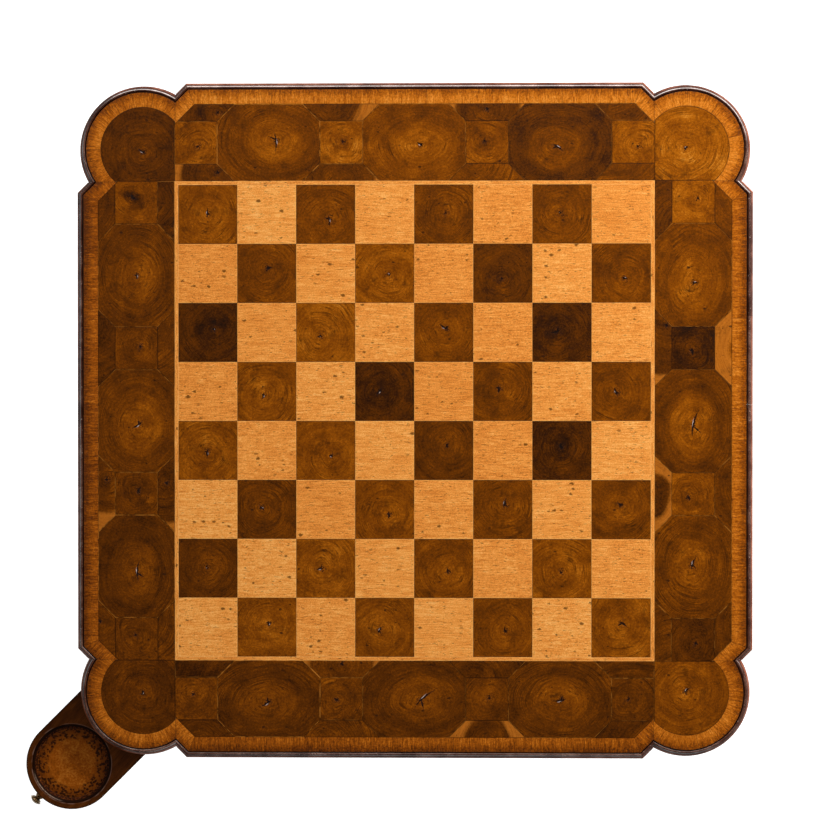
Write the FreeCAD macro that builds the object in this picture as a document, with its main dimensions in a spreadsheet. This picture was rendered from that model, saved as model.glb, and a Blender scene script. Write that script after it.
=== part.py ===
# Chess table with an inlaid board, four coaster slides under its corners and two drawers.
#
# Millimetres. The origin is the centre of the playing surface and +Z is up, so the floor lies at
# -table_high. The front is -Y. The players sit at -X and +X, where each has a light square at the
# right hand and a drawer in front. The four corners are alike: what stands in them is worked out
# for the back right one (+X, +Y) and turned about Z.
import FreeCAD, Part
import math
import os
import re
import Sketcher

os.makedirs("parts", exist_ok=True)
doc = FreeCAD.newDocument("chess_table")

# ---------------------------------------------------------------- driving dimensions

DIMENSIONS = (
    ("table_high", 762, "floor to playing surface"),
    ("half_top", 382.9, "half the top's width, over the edge moulding"),
    ("top_thick", 22, "core and veneer"),
    ("lobe_at", 306.9, "centre of a corner lobe from each middle line"),
    ("lobe_r", 72.9, "radius of a corner lobe, over the moulding"),
    ("jog_at", 259, "where a straight side turns into the 45 degree return beside a lobe"),
    ("veneer", 1.5, "sawn veneer"),
    ("square", 66.7, "one square of the board"),
    ("string_wide", 4.3, "light stringing round the board"),
    ("small_square", 48.2, "small square between the octagons of the border"),
    ("band_inset", 24.9, "inner edge of the crossbanding, from the nose of the moulding"),
    ("mitre_at", 270.4, "cut that parts a lobe's banding from its returns, from each middle line"),
    ("moulding_wide", 8.4, "edge moulding seen from above"),
    ("quirk_lip", 0.4, "flat beside the groove at the top of the moulding"),
    ("quirk_deep", 0.9, "groove between the moulding and the top"),
    ("bead_in", 3.2, "edge of the bead and ends of the nose, in from the nose"),
    ("bead_low", 1.9, "foot of the bead below the surface"),
    ("bead_r", 2.6, "radius of the bead"),
    ("nose_high", 3.4, "upper end of the rounded nose below the surface"),
    ("nose_low", 18, "lower end of the rounded nose below the surface"),
    ("cove_fillet", 1.3, "flat between the nose and the hollow under it"),
    ("cove_in", 6.5, "lower edge of the moulding, in from the nose"),
    ("cove_r", 5, "hollow under the nose"),
    ("frieze_inset", 20.9, "outer face of the frieze, in from the nose of the moulding"),
    ("frieze_high", 108, "frieze below the top"),
    ("rail_thick", 20, "frieze rails"),
    ("upper_rail_high", 29, "rail above a drawer"),
    ("lower_rail_high", 14, "rail below a drawer"),
    ("lower_rail_deep", 40, "rail below a drawer, front to back"),
    ("opening_half", 190, "half the width of a drawer opening"),
    ("block_wing", 20, "corner block beside the slot, across the diagonal"),
    ("bead_high", 8, "small bead along the foot of the frieze"),
    ("bead_proud", 4, "how far that bead stands out"),
    ("slide_half", 52, "half the width of a slide, radius of its round end and of a turret"),
    ("slide_thick", 15, "coaster slide"),
    ("slide_gap", 0.4, "running clearance above, below and beside a slide"),
    ("slide_tail", 183, "inner end of a slide from the centre of its dish"),
    ("lug_half", 60, "half the width over the stop lugs at the inner end"),
    ("lug_long", 12, "stop lugs along the slide"),
    ("travel", 121.6, "how far a slide comes out"),
    ("dish_r", 45.85, "outer edge of the turned dish"),
    ("dish_step", 0.9, "small step round the dish"),
    ("leather_r", 39.85, "leather in the dish"),
    ("dish_deep", 6, "floor of the dish below the slide's face"),
    ("leather_thick", 1.2, "leather inset"),
    ("guide_wide", 8, "guide strip beside a slide"),
    ("guide_in", 246, "inner end of a guide strip from the table's axis"),
    ("dust_board_thick", 12, "board that carries the slides"),
    ("turret_tail", 85, "inner end of a turret block from its axis"),
    ("screw_r", 2, "screws through the guide strips"),
    ("screw_head_r", 4, "their heads"),
    ("screw_head_high", 2.4, "their heads"),
    ("screw_top", 10, "their points below the surface"),
    ("pull_long", 11.8, "brass pull of a slide, from the wood to the tip"),
    ("pull_head_r", 7.2, "head of that pull"),
    ("pull_shank", 12, "its screw in the wood"),
    ("knob_scale", 1.35, "a drawer's knob over a slide's pull"),
    ("knob_apart", 240, "the two knobs of a drawer"),
    ("drawer_deep", 300, "drawer, front to back"),
    ("drawer_front", 18, "thickness of a drawer front"),
    ("drawer_wall", 10, "thickness of drawer sides and back"),
    ("drawer_floor", 5, "thickness of the drawer bottom"),
    ("drawer_gap", 1, "clearance round a drawer"),
    ("drawer_floor_up", 8, "underside of the drawer bottom above the drawer's lower edge"),
    ("drawer_groove", 4, "how far the bottom enters its grooves"),
    ("runner_wide", 30, "drawer runner"),
    ("runner_in", 175, "inner edge of a drawer runner"),
    ("runner_fence", 16, "guide rib on a runner, above the drawer's lower edge"),
    ("block_high", 15.8, "glue blocks and guide strips, between the top and the dust board"),
    ("tenon_r", 15, "round tenon on the leg"),
    ("tenon_high", 50, "round tenon on the leg"),
    ("ear_thick", 20, "knee bracket"),
    ("ear_long", 47, "knee bracket along the frieze"),
    ("ear_high", 62, "knee bracket down the leg"),
    ("ear_at", 322, "middle of a knee bracket from the other middle line"),
    ("ear_face", 272, "where a knee bracket meets the leg, from the middle line"),
    ("foot_r", 33, "pad foot"),
    ("foot_high", 34, "pad foot"),
    ("foot_out", 8, "pad foot outward from the axis of the turret"),
    ("cushion_r", 26, "disc under the pad foot"),
    ("cushion_high", 5, "disc under the pad foot"),
)

sheet = doc.addObject("Spreadsheet::Sheet", "Dim")
for row, (alias, number, meaning) in enumerate(DIMENSIONS, 1):
    sheet.set(f"A{row}", alias)
    sheet.set(f"B{row}", str(number))
    sheet.set(f"C{row}", meaning)
    sheet.setAlias(f"B{row}", alias)
doc.recompute()

ALIASES = re.compile(r"\b(" + "|".join(entry[0] for entry in DIMENSIONS) + r")\b")

# Sizes that follow from them, as expressions on the sheet's cells.
JOG_SUM = "(half_top + jog_at)"
BOARD_HALF = "(4 * square)"
SEAM = "(4 * square + string_wide)"
BAND_OUT = "(half_top - band_inset)"
CHAMFER = f"(({BAND_OUT} - {SEAM} - small_square) / 2)"
OCTAGON_WIDE = f"((2 * {SEAM} - 4 * small_square) / 3)"
FRIEZE = "(half_top - frieze_inset)"
FRIEZE_JOG = f"({JOG_SUM} - sqrt(2) * frieze_inset)"
FRIEZE_LOW = "(-top_thick - frieze_high)"
RAIL_IN = f"({FRIEZE} - rail_thick)"
RAIL_HALF = f"({FRIEZE_JOG} - {FRIEZE})"
DUST_BOARD_TOP = "(-top_thick - block_high)"
LOBE_OUT = "(sqrt(2) * lobe_at)"
STOP_AT = f"({LOBE_OUT} - slide_tail + lug_long + travel + slide_gap / 2)"
TURRET_IN = f"({LOBE_OUT} - turret_tail)"
OPENING_TOP = "(-top_thick - upper_rail_high)"
OPENING_LOW = f"({FRIEZE_LOW} + lower_rail_high)"

CORNERS = (("back_right", 1, 1), ("back_left", -1, 1), ("front_left", -1, -1), ("front_right", 1, -1))


def cell(text):
    """The expression with every size read from the sheet."""
    return ALIASES.sub(lambda found: "Dim." + found.group(0), text)


def size(text):
    return float(sheet.evalExpression(cell(text)))


def bind(item, **links):
    for name, text in links.items():
        item.setExpression(name, cell(text))
    return item


def place(item, x="0", y="0", z="0", turn="0"):
    for name, text in (("Base.x", x), ("Base.y", y), ("Base.z", z), ("Rotation.Angle", turn)):
        if text != "0":
            item.setExpression("Placement." + name, cell(text))
    return item


# ---------------------------------------------------------------- solids and booleans

def block(name, x, y, z):
    """A box between two limits on each axis."""
    item = doc.addObject("Part::Box", name)
    bind(item, Length=f"({x[1]}) - ({x[0]})", Width=f"({y[1]}) - ({y[0]})", Height=f"({z[1]}) - ({z[0]})")
    return place(item, x[0], y[0], z[0])


def mirrored(side, low, high):
    """Limits on the side named by +1 or -1."""
    return (low, high) if side > 0 else (f"-({high})", f"-({low})")


def disc(name, x, y, z, radius, high):
    item = doc.addObject("Part::Cylinder", name)
    bind(item, Radius=radius, Height=high)
    return place(item, x, y, z)


def fuse(name, *parts):
    item = doc.addObject("Part::MultiFuse", name)
    item.Shapes = list(parts)
    return item


def common(name, *parts):
    item = doc.addObject("Part::MultiCommon", name)
    item.Shapes = list(parts)
    return item


def group(name, *parts):
    item = doc.addObject("Part::Compound", name)
    item.Links = list(parts)
    return item


def cut(name, base, tool):
    item = doc.addObject("Part::Cut", name)
    item.Base = base
    item.Tool = tool
    return item


# ---------------------------------------------------------------- sketches

def new_body(name):
    body = doc.addObject("PartDesign::Body", name)
    body.AllowCompound = True
    return body


def origin_feature(body, role):
    return next(item for item in body.Origin.OriginFeatures if item.Role == role)


def draw(sketch, corners):
    """One closed outline. A corner is (x, y) or (x, y, radius, side): then an arc of that radius runs
    to the next corner, bulging to the left of the way round where side is 1, to the right where -1."""
    spots = [FreeCAD.Vector(size(corner[0]), size(corner[1]), 0) for corner in corners]
    ends = []
    for place_in_row, corner in enumerate(corners):
        start = spots[place_in_row]
        stop = spots[(place_in_row + 1) % len(spots)]
        if len(corner) == 2:
            ends.append((sketch.addGeometry(Part.LineSegment(start, stop)), 1, 2))
            continue
        chord = stop - start
        radius = size(corner[2])
        rise = radius - math.sqrt(max(radius ** 2 - (chord.Length / 2) ** 2, 0))
        left = FreeCAD.Vector(-chord.y, chord.x, 0).normalize()
        middle = (start + stop) / 2 + left * (rise * corner[3])
        if corner[3] > 0:  # clockwise, so the arc is drawn from its far end
            edge = sketch.addGeometry(Part.Arc(stop, middle, start))
            ends.append((edge, 2, 1))
        else:
            edge = sketch.addGeometry(Part.Arc(start, middle, stop))
            ends.append((edge, 1, 2))
        fixed = sketch.addConstraint(Sketcher.Constraint("Radius", edge, radius))
        sketch.setExpression(f"Constraints[{fixed}]", cell(corner[2]))
    for place_in_row, (edge, first, last) in enumerate(ends):
        following = ends[(place_in_row + 1) % len(ends)]
        sketch.addConstraint(Sketcher.Constraint("Coincident", edge, last, following[0], following[1]))
        for kind, text in zip(("DistanceX", "DistanceY"), corners[place_in_row]):
            fixed = sketch.addConstraint(Sketcher.Constraint(kind, -1, 1, edge, first, size(text)))
            sketch.setExpression(f"Constraints[{fixed}]", cell(text))


def outline(body, name, role, outlines, level="0", aside="0"):
    """A sketch on one of the body's origin planes, level above it and aside in both directions."""
    sketch = body.newObject("Sketcher::SketchObject", name)
    sketch.AttachmentSupport = [(origin_feature(body, role), "")]
    sketch.MapMode = "FlatFace"
    for axis, text in (("x", aside), ("y", aside), ("z", level)):
        if text != "0":
            sketch.setExpression("AttachmentOffset.Base." + axis, cell(text))
    for corners in outlines:
        draw(sketch, corners)
    return sketch


def pad(body, sketch, long, side="One side", back=False):
    feature = body.newObject("PartDesign::Pad", body.Name + "_pad")
    feature.Profile = sketch
    feature.SideType = side
    feature.Reversed = back
    return bind(feature, Length=long)


def prisms(name, outlines, base, high, copies=1):
    """Flat pieces with upright edges, repeated round the table's axis."""
    body = new_body(name)
    sketch = outline(body, name + "_outline", "XY_Plane", outlines, base)
    feature = pad(body, sketch, high)
    if copies > 1:
        ring = body.newObject("PartDesign::PolarPattern", name + "_ring")
        ring.Originals = [feature]
        ring.Axis = (sketch, ["N_Axis"])
        ring.Angle = 360
        ring.Occurrences = copies
        body.Tip = ring
    return body


def turned(name, corners, axis="V_Axis"):
    """A solid of revolution about one axis of its upright sketch."""
    body = new_body(name)
    sketch = outline(body, name + "_profile", "XZ_Plane", [corners])
    feature = body.newObject("PartDesign::Revolution", name + "_turned")
    feature.Profile = sketch
    feature.ReferenceAxis = (sketch, [axis])
    feature.Angle = 360
    return body


# ---------------------------------------------------------------- the table's outline

def plate(name, inset, base, high):
    """The outline of the top, set in all round: a square, cut across its corners, with four lobes.
    Gives the whole plate, and the same without its lobes."""
    half = f"(half_top - {inset})"
    jog_half = f"({JOG_SUM} / sqrt(2) - {inset})"
    level = (base, f"{base} + {high}")
    square = block(name + "_square", (f"-{half}", half), (f"-{half}", half), level)
    diamond = block(name + "_diamond", (f"-{jog_half}", jog_half), (f"-{jog_half}", jog_half), level)
    place(diamond, "0.0", f"-sqrt(2) * {jog_half}", base, "45")
    lobes = [
        disc(f"{name}_lobe_{tag}", f"{x} * lobe_at", f"{y} * lobe_at", base, f"lobe_r - {inset}", high)
        for tag, x, y in CORNERS
    ]
    middle = common(name + "_octagon", square, diamond)
    return fuse(name, middle, *lobes), middle


def moulded_plate(name, profile, level):
    """The same outline with a moulded edge: slabs with the profile at both ends, and turned lobes.
    The profile runs down the edge: (inset, depth) or (inset, depth, radius, side)."""

    def falling(reach):
        return [(f"({reach}) - ({inset})", f"{level} - ({deep})", *arc) for inset, deep, *arc in profile]

    def rising(reach):
        corners = []
        for number in range(len(profile) - 1, -1, -1):
            inset, deep = profile[number][:2]
            arc = profile[number - 1][2:] if number else ()
            corners.append((f"({inset}) - ({reach})", f"{level} - ({deep})", *arc))
        return corners

    slabs = []
    for turn in range(4):
        reach = "half_top" if turn % 2 == 0 else f"{JOG_SUM} / sqrt(2)"
        slab = new_body(f"{name}_slab_{turn}")
        sketch = outline(slab, slab.Name + "_profile", "XZ_Plane", [falling(reach) + rising(reach)])
        pad(slab, sketch, "4 * half_top", "Symmetric")
        slabs.append(place(slab, turn=str(45 * turn)))
    deepest = f"{level} - ({profile[-1][1]})"
    lobes = []
    for tag, x, y in CORNERS:
        lobe = turned(f"{name}_lobe_{tag}", [("0", level), *falling("lobe_r"), ("0", deepest)])
        lobes.append(place(lobe, f"{x} * lobe_at", f"{y} * lobe_at"))
    return fuse(name, common(name + "_octagon", *slabs), *lobes)


def corner_prisms(name, inner, base, high):
    """The four corner areas beyond a line on each axis."""
    outer = "(half_top + 5)"
    return prisms(name, [[(inner, inner), (outer, inner), (outer, outer), (inner, outer)]], base, high, 4)


def mitred(name, ring, base, high):
    """Cuts a ring round the top at its mitres: straight sides, returns beside the lobes, lobes."""
    slope = "(sqrt(2) - 1)"
    near, far = "(half_top - 45)", "(half_top + 5)"
    inner, outer = f"(jog_at - 45 * {slope})", f"(jog_at + 5 * {slope})"
    side = [(f"-{outer}", far), (f"-{inner}", near), (inner, near), (outer, far)]
    low, tall = f"{base} - 1", f"{high} + 2"
    sides = prisms(name + "_side_area", [side], low, tall, 4)
    lobes = corner_prisms(name + "_lobe_area", "mitre_at", low, tall)
    return (
        common(name + "_sides", ring, sides),
        cut(name + "_returns", ring, group(name + "_areas", sides, lobes)),
        common(name + "_lobes", ring, lobes),
    )


def diagonal(out, across):
    """A point given along and across the back right diagonal."""
    return f"(({out}) - ({across})) / sqrt(2)", f"(({out}) + ({across})) / sqrt(2)"


# ---------------------------------------------------------------- top: core and edge moulding

def guide_screws():
    """Two countersunk screws up through each guide strip into the top."""
    screws = []
    for tag, x, y in CORNERS:
        for out in ("(guide_in + 25)", f"({STOP_AT} - 30)"):
            for side in (1, -1):
                across = f"{side} * (lug_half + slide_gap + guide_wide / 2)"
                along_x = f"({x} * ({out}) - ({y}) * ({across})) / sqrt(2)"
                along_y = f"({y} * ({out}) + ({x}) * ({across})) / sqrt(2)"
                name = f"screw_{tag}_{len(screws)}"
                head = doc.addObject("Part::Cone", name + "_head")
                bind(head, Radius1="screw_head_r", Radius2="screw_r", Height="screw_head_high")
                place(head, along_x, along_y, DUST_BOARD_TOP)
                shank_low = f"{DUST_BOARD_TOP} + screw_head_high"
                shank = disc(name + "_shank", along_x, along_y, shank_low, "screw_r", f"-screw_top - ({shank_low})")
                screws.append(fuse(name, head, shank))
    return group("guide_screws", *screws)


def edge_moulding():
    """Cross-grain moulding: lip and quirk, a small bead, a long rounded nose, a hollow below."""
    nose_r = "((nose_low - nose_high)^2 / 4 + bead_in^2) / (2 * bead_in)"
    profile = (
        ("moulding_wide - quirk_lip", "0"),
        ("moulding_wide - quirk_lip - quirk_deep", "quirk_deep", "bead_r", 1),
        ("bead_in", "bead_low"),
        ("bead_in", "nose_high", nose_r, 1),
        ("bead_in", "nose_low"),
        ("bead_in + cove_fillet", "nose_low", "cove_r", -1),
        ("cove_in", "top_thick"),
    )
    whole = moulded_plate("moulded_top", profile, "0")
    inside = plate("moulding_inside", "moulding_wide", "-top_thick - 1", "top_thick + 2")[0]
    ring = cut("edge_moulding", whole, inside)
    return mitred("edge_moulding", ring, "-top_thick", "top_thick")


screws = guide_screws()
core_blank = plate("core_blank", "moulding_wide", "-top_thick", "top_thick - veneer")[0]
top_core = cut("top_core", core_blank, screws)
moulding_sides, moulding_returns, moulding_lobes = edge_moulding()

# ---------------------------------------------------------------- top: veneers

def crossbanding():
    ring = cut(
        "banding_ring",
        plate("banding_outside", "moulding_wide", "-veneer", "veneer")[0],
        plate("banding_inside", "band_inset", "-veneer - 1", "veneer + 2")[0],
    )
    return group("crossbanding", *mitred("banding", ring, "-veneer", "veneer"))


def border(field):
    """Between the lobes, each side has small squares and octagons in turn, with wedges filling the
    edges beside the small squares. All are trimmed to the returns of the crossbanding."""
    pitch = f"({OCTAGON_WIDE} + small_square)"
    low, high = f"({SEAM} + {CHAMFER})", f"({BAND_OUT} - {CHAMFER})"
    octagons, squares, wedges = [], [], []
    for number in range(4):
        left = f"(-{SEAM} + {number} * {pitch})"
        right = f"({left} + small_square)"
        squares.append([(left, low), (right, low), (right, high), (left, high)])
        wide_left = f"({left} - {CHAMFER})" if number > 0 else left
        wide_right = f"({right} + {CHAMFER})" if number < 3 else right
        wedges.append([(left, low), (wide_left, SEAM), (wide_right, SEAM), (right, low)])
        wedges.append([(left, high), (right, high), (wide_right, BAND_OUT), (wide_left, BAND_OUT)])
        if number < 3:
            end = f"({right} + {OCTAGON_WIDE})"
            octagons.append([
                (right, low), (f"{right} + {CHAMFER}", SEAM), (f"{end} - {CHAMFER}", SEAM), (end, low),
                (end, high), (f"{end} - {CHAMFER}", BAND_OUT), (f"{right} + {CHAMFER}", BAND_OUT), (right, high),
            ])
    return [
        common(name, prisms(name + "_sheet", outlines, "-veneer", "veneer", 4), field)
        for name, outlines in (("oyster_octagons", octagons), ("oyster_squares", squares), ("oyster_wedges", wedges))
    ]


def lobe_veneers(panel, neighbours):
    """One oyster on each lobe, up to the seams of the border."""
    sheet_stock = corner_prisms("lobe_sheet", f"({SEAM} - 2)", "-veneer", "veneer")
    return cut("oyster_lobes", common("lobe_discs", sheet_stock, panel), group("lobe_neighbours", *neighbours))


def stringing():
    """Four light strips, mitred at the corners of the board."""
    side = [(f"-{BOARD_HALF}", BOARD_HALF), (BOARD_HALF, BOARD_HALF), (SEAM, SEAM), (f"-{SEAM}", SEAM)]
    strips = [prisms(f"stringing_{number}", [side], "-veneer", "veneer") for number in range(4)]
    return group("board_stringing", *(place(strip, turn=f"{90 * number}") for number, strip in enumerate(strips)))


def board_squares():
    """Eight by eight, dark in the back left corner and so light at each player's right hand."""
    tones = {"dark": [], "light": []}
    for rank in range(8):
        for file in range(8):
            tone = "dark" if (rank + file) % 2 else "light"
            x = f"({file - 4} * square)"
            y = f"({rank - 4} * square)"
            tones[tone].append(block(
                f"{tone}_{rank}_{file}", (x, f"{x} + square"), (y, f"{y} + square"), ("-veneer", "0")))
    return group("dark_squares", *tones["dark"]), group("light_squares", *tones["light"])


banding = crossbanding()
veneer_panel, veneer_field = plate("veneer_panel", "band_inset", "-veneer", "veneer")
oysters = border(veneer_field)
board_stringing = stringing()
oyster_lobes = lobe_veneers(veneer_panel, (*oysters, board_stringing))
dark_squares, light_squares = board_squares()

# ---------------------------------------------------------------- frieze

def frieze_rails():
    """Front and back rails are plain; left and right a drawer opens between two rails and two stiles."""
    whole = (FRIEZE_LOW, "-top_thick")
    long = (f"-{RAIL_HALF}", RAIL_HALF)
    plain, upper, lower, stiles = [], [], [], []
    for side in (1, -1):
        tag = "plus" if side > 0 else "minus"
        face = mirrored(side, RAIL_IN, FRIEZE)
        plain.append(block(f"plain_rail_{tag}", long, face, whole))
        upper.append(block(f"upper_rail_{tag}", face, long, (OPENING_TOP, "-top_thick")))
        front = block(f"lower_rail_face_{tag}", face, long, (FRIEZE_LOW, OPENING_LOW))
        deep = mirrored(side, f"({FRIEZE} - lower_rail_deep)", RAIL_IN)
        inner_half = diagonal(STOP_AT, "(slide_half + slide_gap + block_wing)")[0]
        back = block(f"lower_rail_back_{tag}", deep, (f"-{inner_half}", inner_half), (FRIEZE_LOW, OPENING_LOW))
        lower.append(fuse(f"lower_rail_{tag}", front, back))
        for end in (1, -1):
            across = mirrored(end, "opening_half", RAIL_HALF)
            stiles.append(block(f"stile_{tag}_{len(stiles)}", face, across, (OPENING_LOW, OPENING_TOP)))
    return (
        group("plain_rails", *plain), group("drawer_upper_rails", *upper),
        group("drawer_lower_rails", *lower), group("drawer_stiles", *stiles),
    )


def corner_block_outlines():
    """A block stands on each side of a slot. Its inner face stops the slide's lug."""
    slot = "(slide_half + slide_gap)"
    wing = f"({slot} + block_wing)"
    out = f"{FRIEZE_JOG} / sqrt(2)"
    corners = [
        (RAIL_HALF, FRIEZE), diagonal(out, slot), diagonal(STOP_AT, slot), diagonal(STOP_AT, wing),
        (diagonal(STOP_AT, wing)[0], RAIL_IN), (RAIL_HALF, RAIL_IN),
    ]
    return [corners, [(y, x) for x, y in corners]]


def dust_board():
    """One board inside the frieze, notched round the turrets and corner blocks. The slides run on it."""
    slot = "(slide_half + slide_gap)"
    wing = f"({slot} + block_wing)"
    notch = [diagonal(TURRET_IN, slot), diagonal(STOP_AT, slot), diagonal(STOP_AT, wing)]
    beyond = f"({RAIL_IN} + 5)"
    notch.append((notch[-1][0], beyond))
    mirror = [(y, x) for x, y in reversed(notch)]
    low = f"{DUST_BOARD_TOP} - dust_board_thick"
    sheet_stock = block(
        "dust_board_stock", (f"-{RAIL_IN}", RAIL_IN), (f"-{RAIL_IN}", RAIL_IN), (low, DUST_BOARD_TOP))
    notches = prisms(
        "dust_board_notches", [notch + [(beyond, beyond)] + mirror], f"{low} - 1", "dust_board_thick + 2", 4)
    return cut("dust_board", sheet_stock, notches)


def frieze_bead():
    """Half-round bead planted round the foot of the frieze and its turrets."""
    back = "(frieze_inset - 0.6)"
    reach = "(bead_proud - 0.6)"
    radius = f"(bead_high^2 / 4 + {reach}^2) / (2 * {reach})"
    profile = ((back, "0", radius, 1), (back, "bead_high"))
    whole = moulded_plate("beaded_frieze", profile, f"({FRIEZE_LOW} + bead_high)")
    inside = plate("bead_inside", "frieze_inset", f"({FRIEZE_LOW} - 1)", "(bead_high + 2)")[0]
    ring = cut("frieze_bead_ring", whole, inside)
    return group("frieze_bead", *mitred("frieze_bead", ring, FRIEZE_LOW, "bead_high"))


def guide_strips():
    """Strips under the top that keep a slide's lugs in line."""
    near = "(lug_half + slide_gap)"
    far = f"({near} + guide_wide)"
    corners = [diagonal("guide_in", near), diagonal(STOP_AT, near), diagonal(STOP_AT, far), diagonal("guide_in", far)]
    outlines = [corners, [(y, x) for x, y in corners]]
    strips = prisms("guide_strips_blank", outlines, DUST_BOARD_TOP, "block_high", 4)
    return cut("slide_guides", strips, screws)


def glue_blocks():
    """Three blocks along each rail between the top and the dust board."""
    outlines = []
    for number in (-1, 0, 1):
        left, right = f"({number * 120} - 30)", f"({number * 120} + 30)"
        low = f"({RAIL_IN} - 16)"
        outlines.append([(left, low), (right, low), (right, RAIL_IN), (left, RAIL_IN)])
    return prisms("glue_blocks", outlines, DUST_BOARD_TOP, "block_high", 4)


def slide_stops():
    """A block behind each slide, which it meets when it is pushed home."""
    near = f"({LOBE_OUT} - slide_tail - slide_gap / 2)"
    far = f"({near} - lug_long)"
    corners = [diagonal(far, "-20"), diagonal(near, "-20"), diagonal(near, "20"), diagonal(far, "20")]
    return prisms("slide_stops", [corners], DUST_BOARD_TOP, "block_high", 4)


def drawer_runners():
    """Two runners from rail to rail, each with a rib that guides the drawers."""
    runners = []
    ends = f"({FRIEZE} - lower_rail_deep)"
    for side in (1, -1):
        tag = "plus" if side > 0 else "minus"
        bed = mirrored(side, "runner_in", "(runner_in + runner_wide)")
        rib = mirrored(side, "opening_half", "(runner_in + runner_wide)")
        rib_top = f"({OPENING_LOW} + runner_fence)"
        runners.append(fuse(
            f"runner_{tag}",
            block(f"runner_bed_{tag}", (f"-{ends}", ends), bed, (FRIEZE_LOW, OPENING_LOW)),
            block(f"runner_rib_{tag}", (f"-{ends}", ends), rib, (OPENING_LOW, rib_top)),
        ))
    return group("drawer_runners", *runners)


def drawer_stops():
    """Two small blocks on each lower rail that a drawer front closes against."""
    stops = []
    for side in (1, -1):
        behind_front = f"({FRIEZE} - drawer_front - 0.3)"
        along = mirrored(side, f"({behind_front} - 14)", behind_front)
        for middle in (-110, 110):
            across = (f"{middle} - 20", f"{middle} + 20")
            stops.append(block(f"stop_{len(stops)}", along, across, (OPENING_LOW, f"{OPENING_LOW} + 6")))
    return group("drawer_stops", *stops)


rails = frieze_rails()
corner_blocks = prisms("frieze_corner_blocks", corner_block_outlines(), FRIEZE_LOW, "frieze_high", 4)
inside_parts = (
    dust_board(), guide_strips(), slide_stops(), glue_blocks(), drawer_runners(), drawer_stops(),
    frieze_bead())

# ---------------------------------------------------------------- turrets, legs and knee brackets

STATIONS = (
    # below the frieze, outward along the diagonal, half the width, radius of the corners
    (0, 0, 36, 6),
    (30, 3, 36.5, 9),
    (75, 10, 35, 15),
    (170, 6, 26.5, 14),
    (300, -6, 18.5, 12.5),
    (480, -15, 12.5, 10.8),
    (560, -8, 12, 10.8),
    (612, 8, 16, 14.4),
)


def rounded_square(half, radius):
    """An octagon of four sides and four quarter arcs, anticlockwise."""
    inner = f"({half} - {radius})"
    return [
        (inner, f"-{half}", str(radius), -1), (str(half), f"-{inner}"),
        (str(half), inner, str(radius), -1), (inner, str(half)),
        (f"-{inner}", str(half), str(radius), -1), (f"-{half}", inner),
        (f"-{half}", f"-{inner}", str(radius), -1), (f"-{inner}", f"-{half}"),
    ]


def cabriole_leg(tag, turn, x, y):
    """Leg and pad foot in one piece, with a round tenon that enters the turret."""
    shaft = new_body(f"leg_shaft_{tag}")
    sections = []
    for number, (below, outward, half, radius) in enumerate(STATIONS):
        sections.append(outline(
            shaft, f"leg_section_{tag}_{number}", "XY_Plane", [rounded_square(half, radius)],
            f"{FRIEZE_LOW} - {below}", f"{outward} / sqrt(2)"))
    loft = shaft.newObject("PartDesign::AdditiveLoft", f"leg_loft_{tag}")
    loft.Profile = sections[0]
    loft.Sections = sections[1:]
    place(shaft, x, y, turn=str(turn))
    foot = turned(f"leg_foot_{tag}", [
        ("0", "0"), ("cushion_r", "0"), ("cushion_r", "cushion_high"),
        ("foot_r - 2", "cushion_high + 1", "9", -1), ("foot_r - 2.5", "cushion_high + 15", "60", -1),
        ("foot_r / 2", "foot_high"), ("0", "foot_high"),
    ])
    sign_x, sign_y = x.split(" ")[0], y.split(" ")[0]
    place(foot, f"{sign_x} * (lobe_at + foot_out / sqrt(2))", f"{sign_y} * (lobe_at + foot_out / sqrt(2))", "-table_high")
    tenon = disc(f"leg_tenon_{tag}", x, y, FRIEZE_LOW, "tenon_r", "tenon_high")
    return fuse(f"leg_{tag}", shaft, foot, tenon), tenon


def turret(tag, turn, x, y, tenon):
    """The round block under a lobe, which carries the slide and takes the leg's tenon."""
    body = new_body(f"turret_blank_{tag}")
    stadium = [
        ("-turret_tail", "-slide_half"), ("0", "-slide_half", "slide_half", -1), ("slide_half", "0", "slide_half", -1),
        ("0", "slide_half"), ("-turret_tail", "slide_half"),
    ]
    sketch = outline(body, f"turret_outline_{tag}", "XY_Plane", [stadium], FRIEZE_LOW)
    pad(body, sketch, f"{DUST_BOARD_TOP} - {FRIEZE_LOW}")
    place(body, x, y, turn=str(turn + 45))
    return cut(f"turret_{tag}", body, tenon)


def knee_brackets(legs):
    """Two shaped brackets beside each leg, under the corner blocks."""
    brackets = []
    shape = [
        ("15", "0"), ("-ear_long", "0"), ("-ear_long", "-6", "ear_long + 3", 1),
        ("-5", "-ear_high + 12"), ("15", "-ear_high"),
    ]
    for tag, x, y in CORNERS:
        for number, (along, across, turn) in enumerate((
            (f"{x} * ear_face", f"{y} * ear_at", 0 if x > 0 else 180),
            (f"{x} * ear_at", f"{y} * ear_face", 90 * y),
        )):
            body = new_body(f"bracket_{tag}_{number}")
            sketch = outline(body, body.Name + "_shape", "XZ_Plane", [shape])
            pad(body, sketch, "ear_thick", "Symmetric")
            brackets.append(place(body, along, across, FRIEZE_LOW, str(turn)))
    return cut("knee_brackets", group("bracket_blanks", *brackets), group("all_legs", *legs))


turrets, legs = [], []
for number, (tag, x, y) in enumerate(CORNERS):
    leg, tenon = cabriole_leg(tag, 90 * number, f"{x} * lobe_at", f"{y} * lobe_at")
    legs.append(leg)
    turrets.append(turret(tag, 90 * number, f"{x} * lobe_at", f"{y} * lobe_at", tenon))
brackets = knee_brackets(legs)

# ---------------------------------------------------------------- brass pulls

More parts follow.
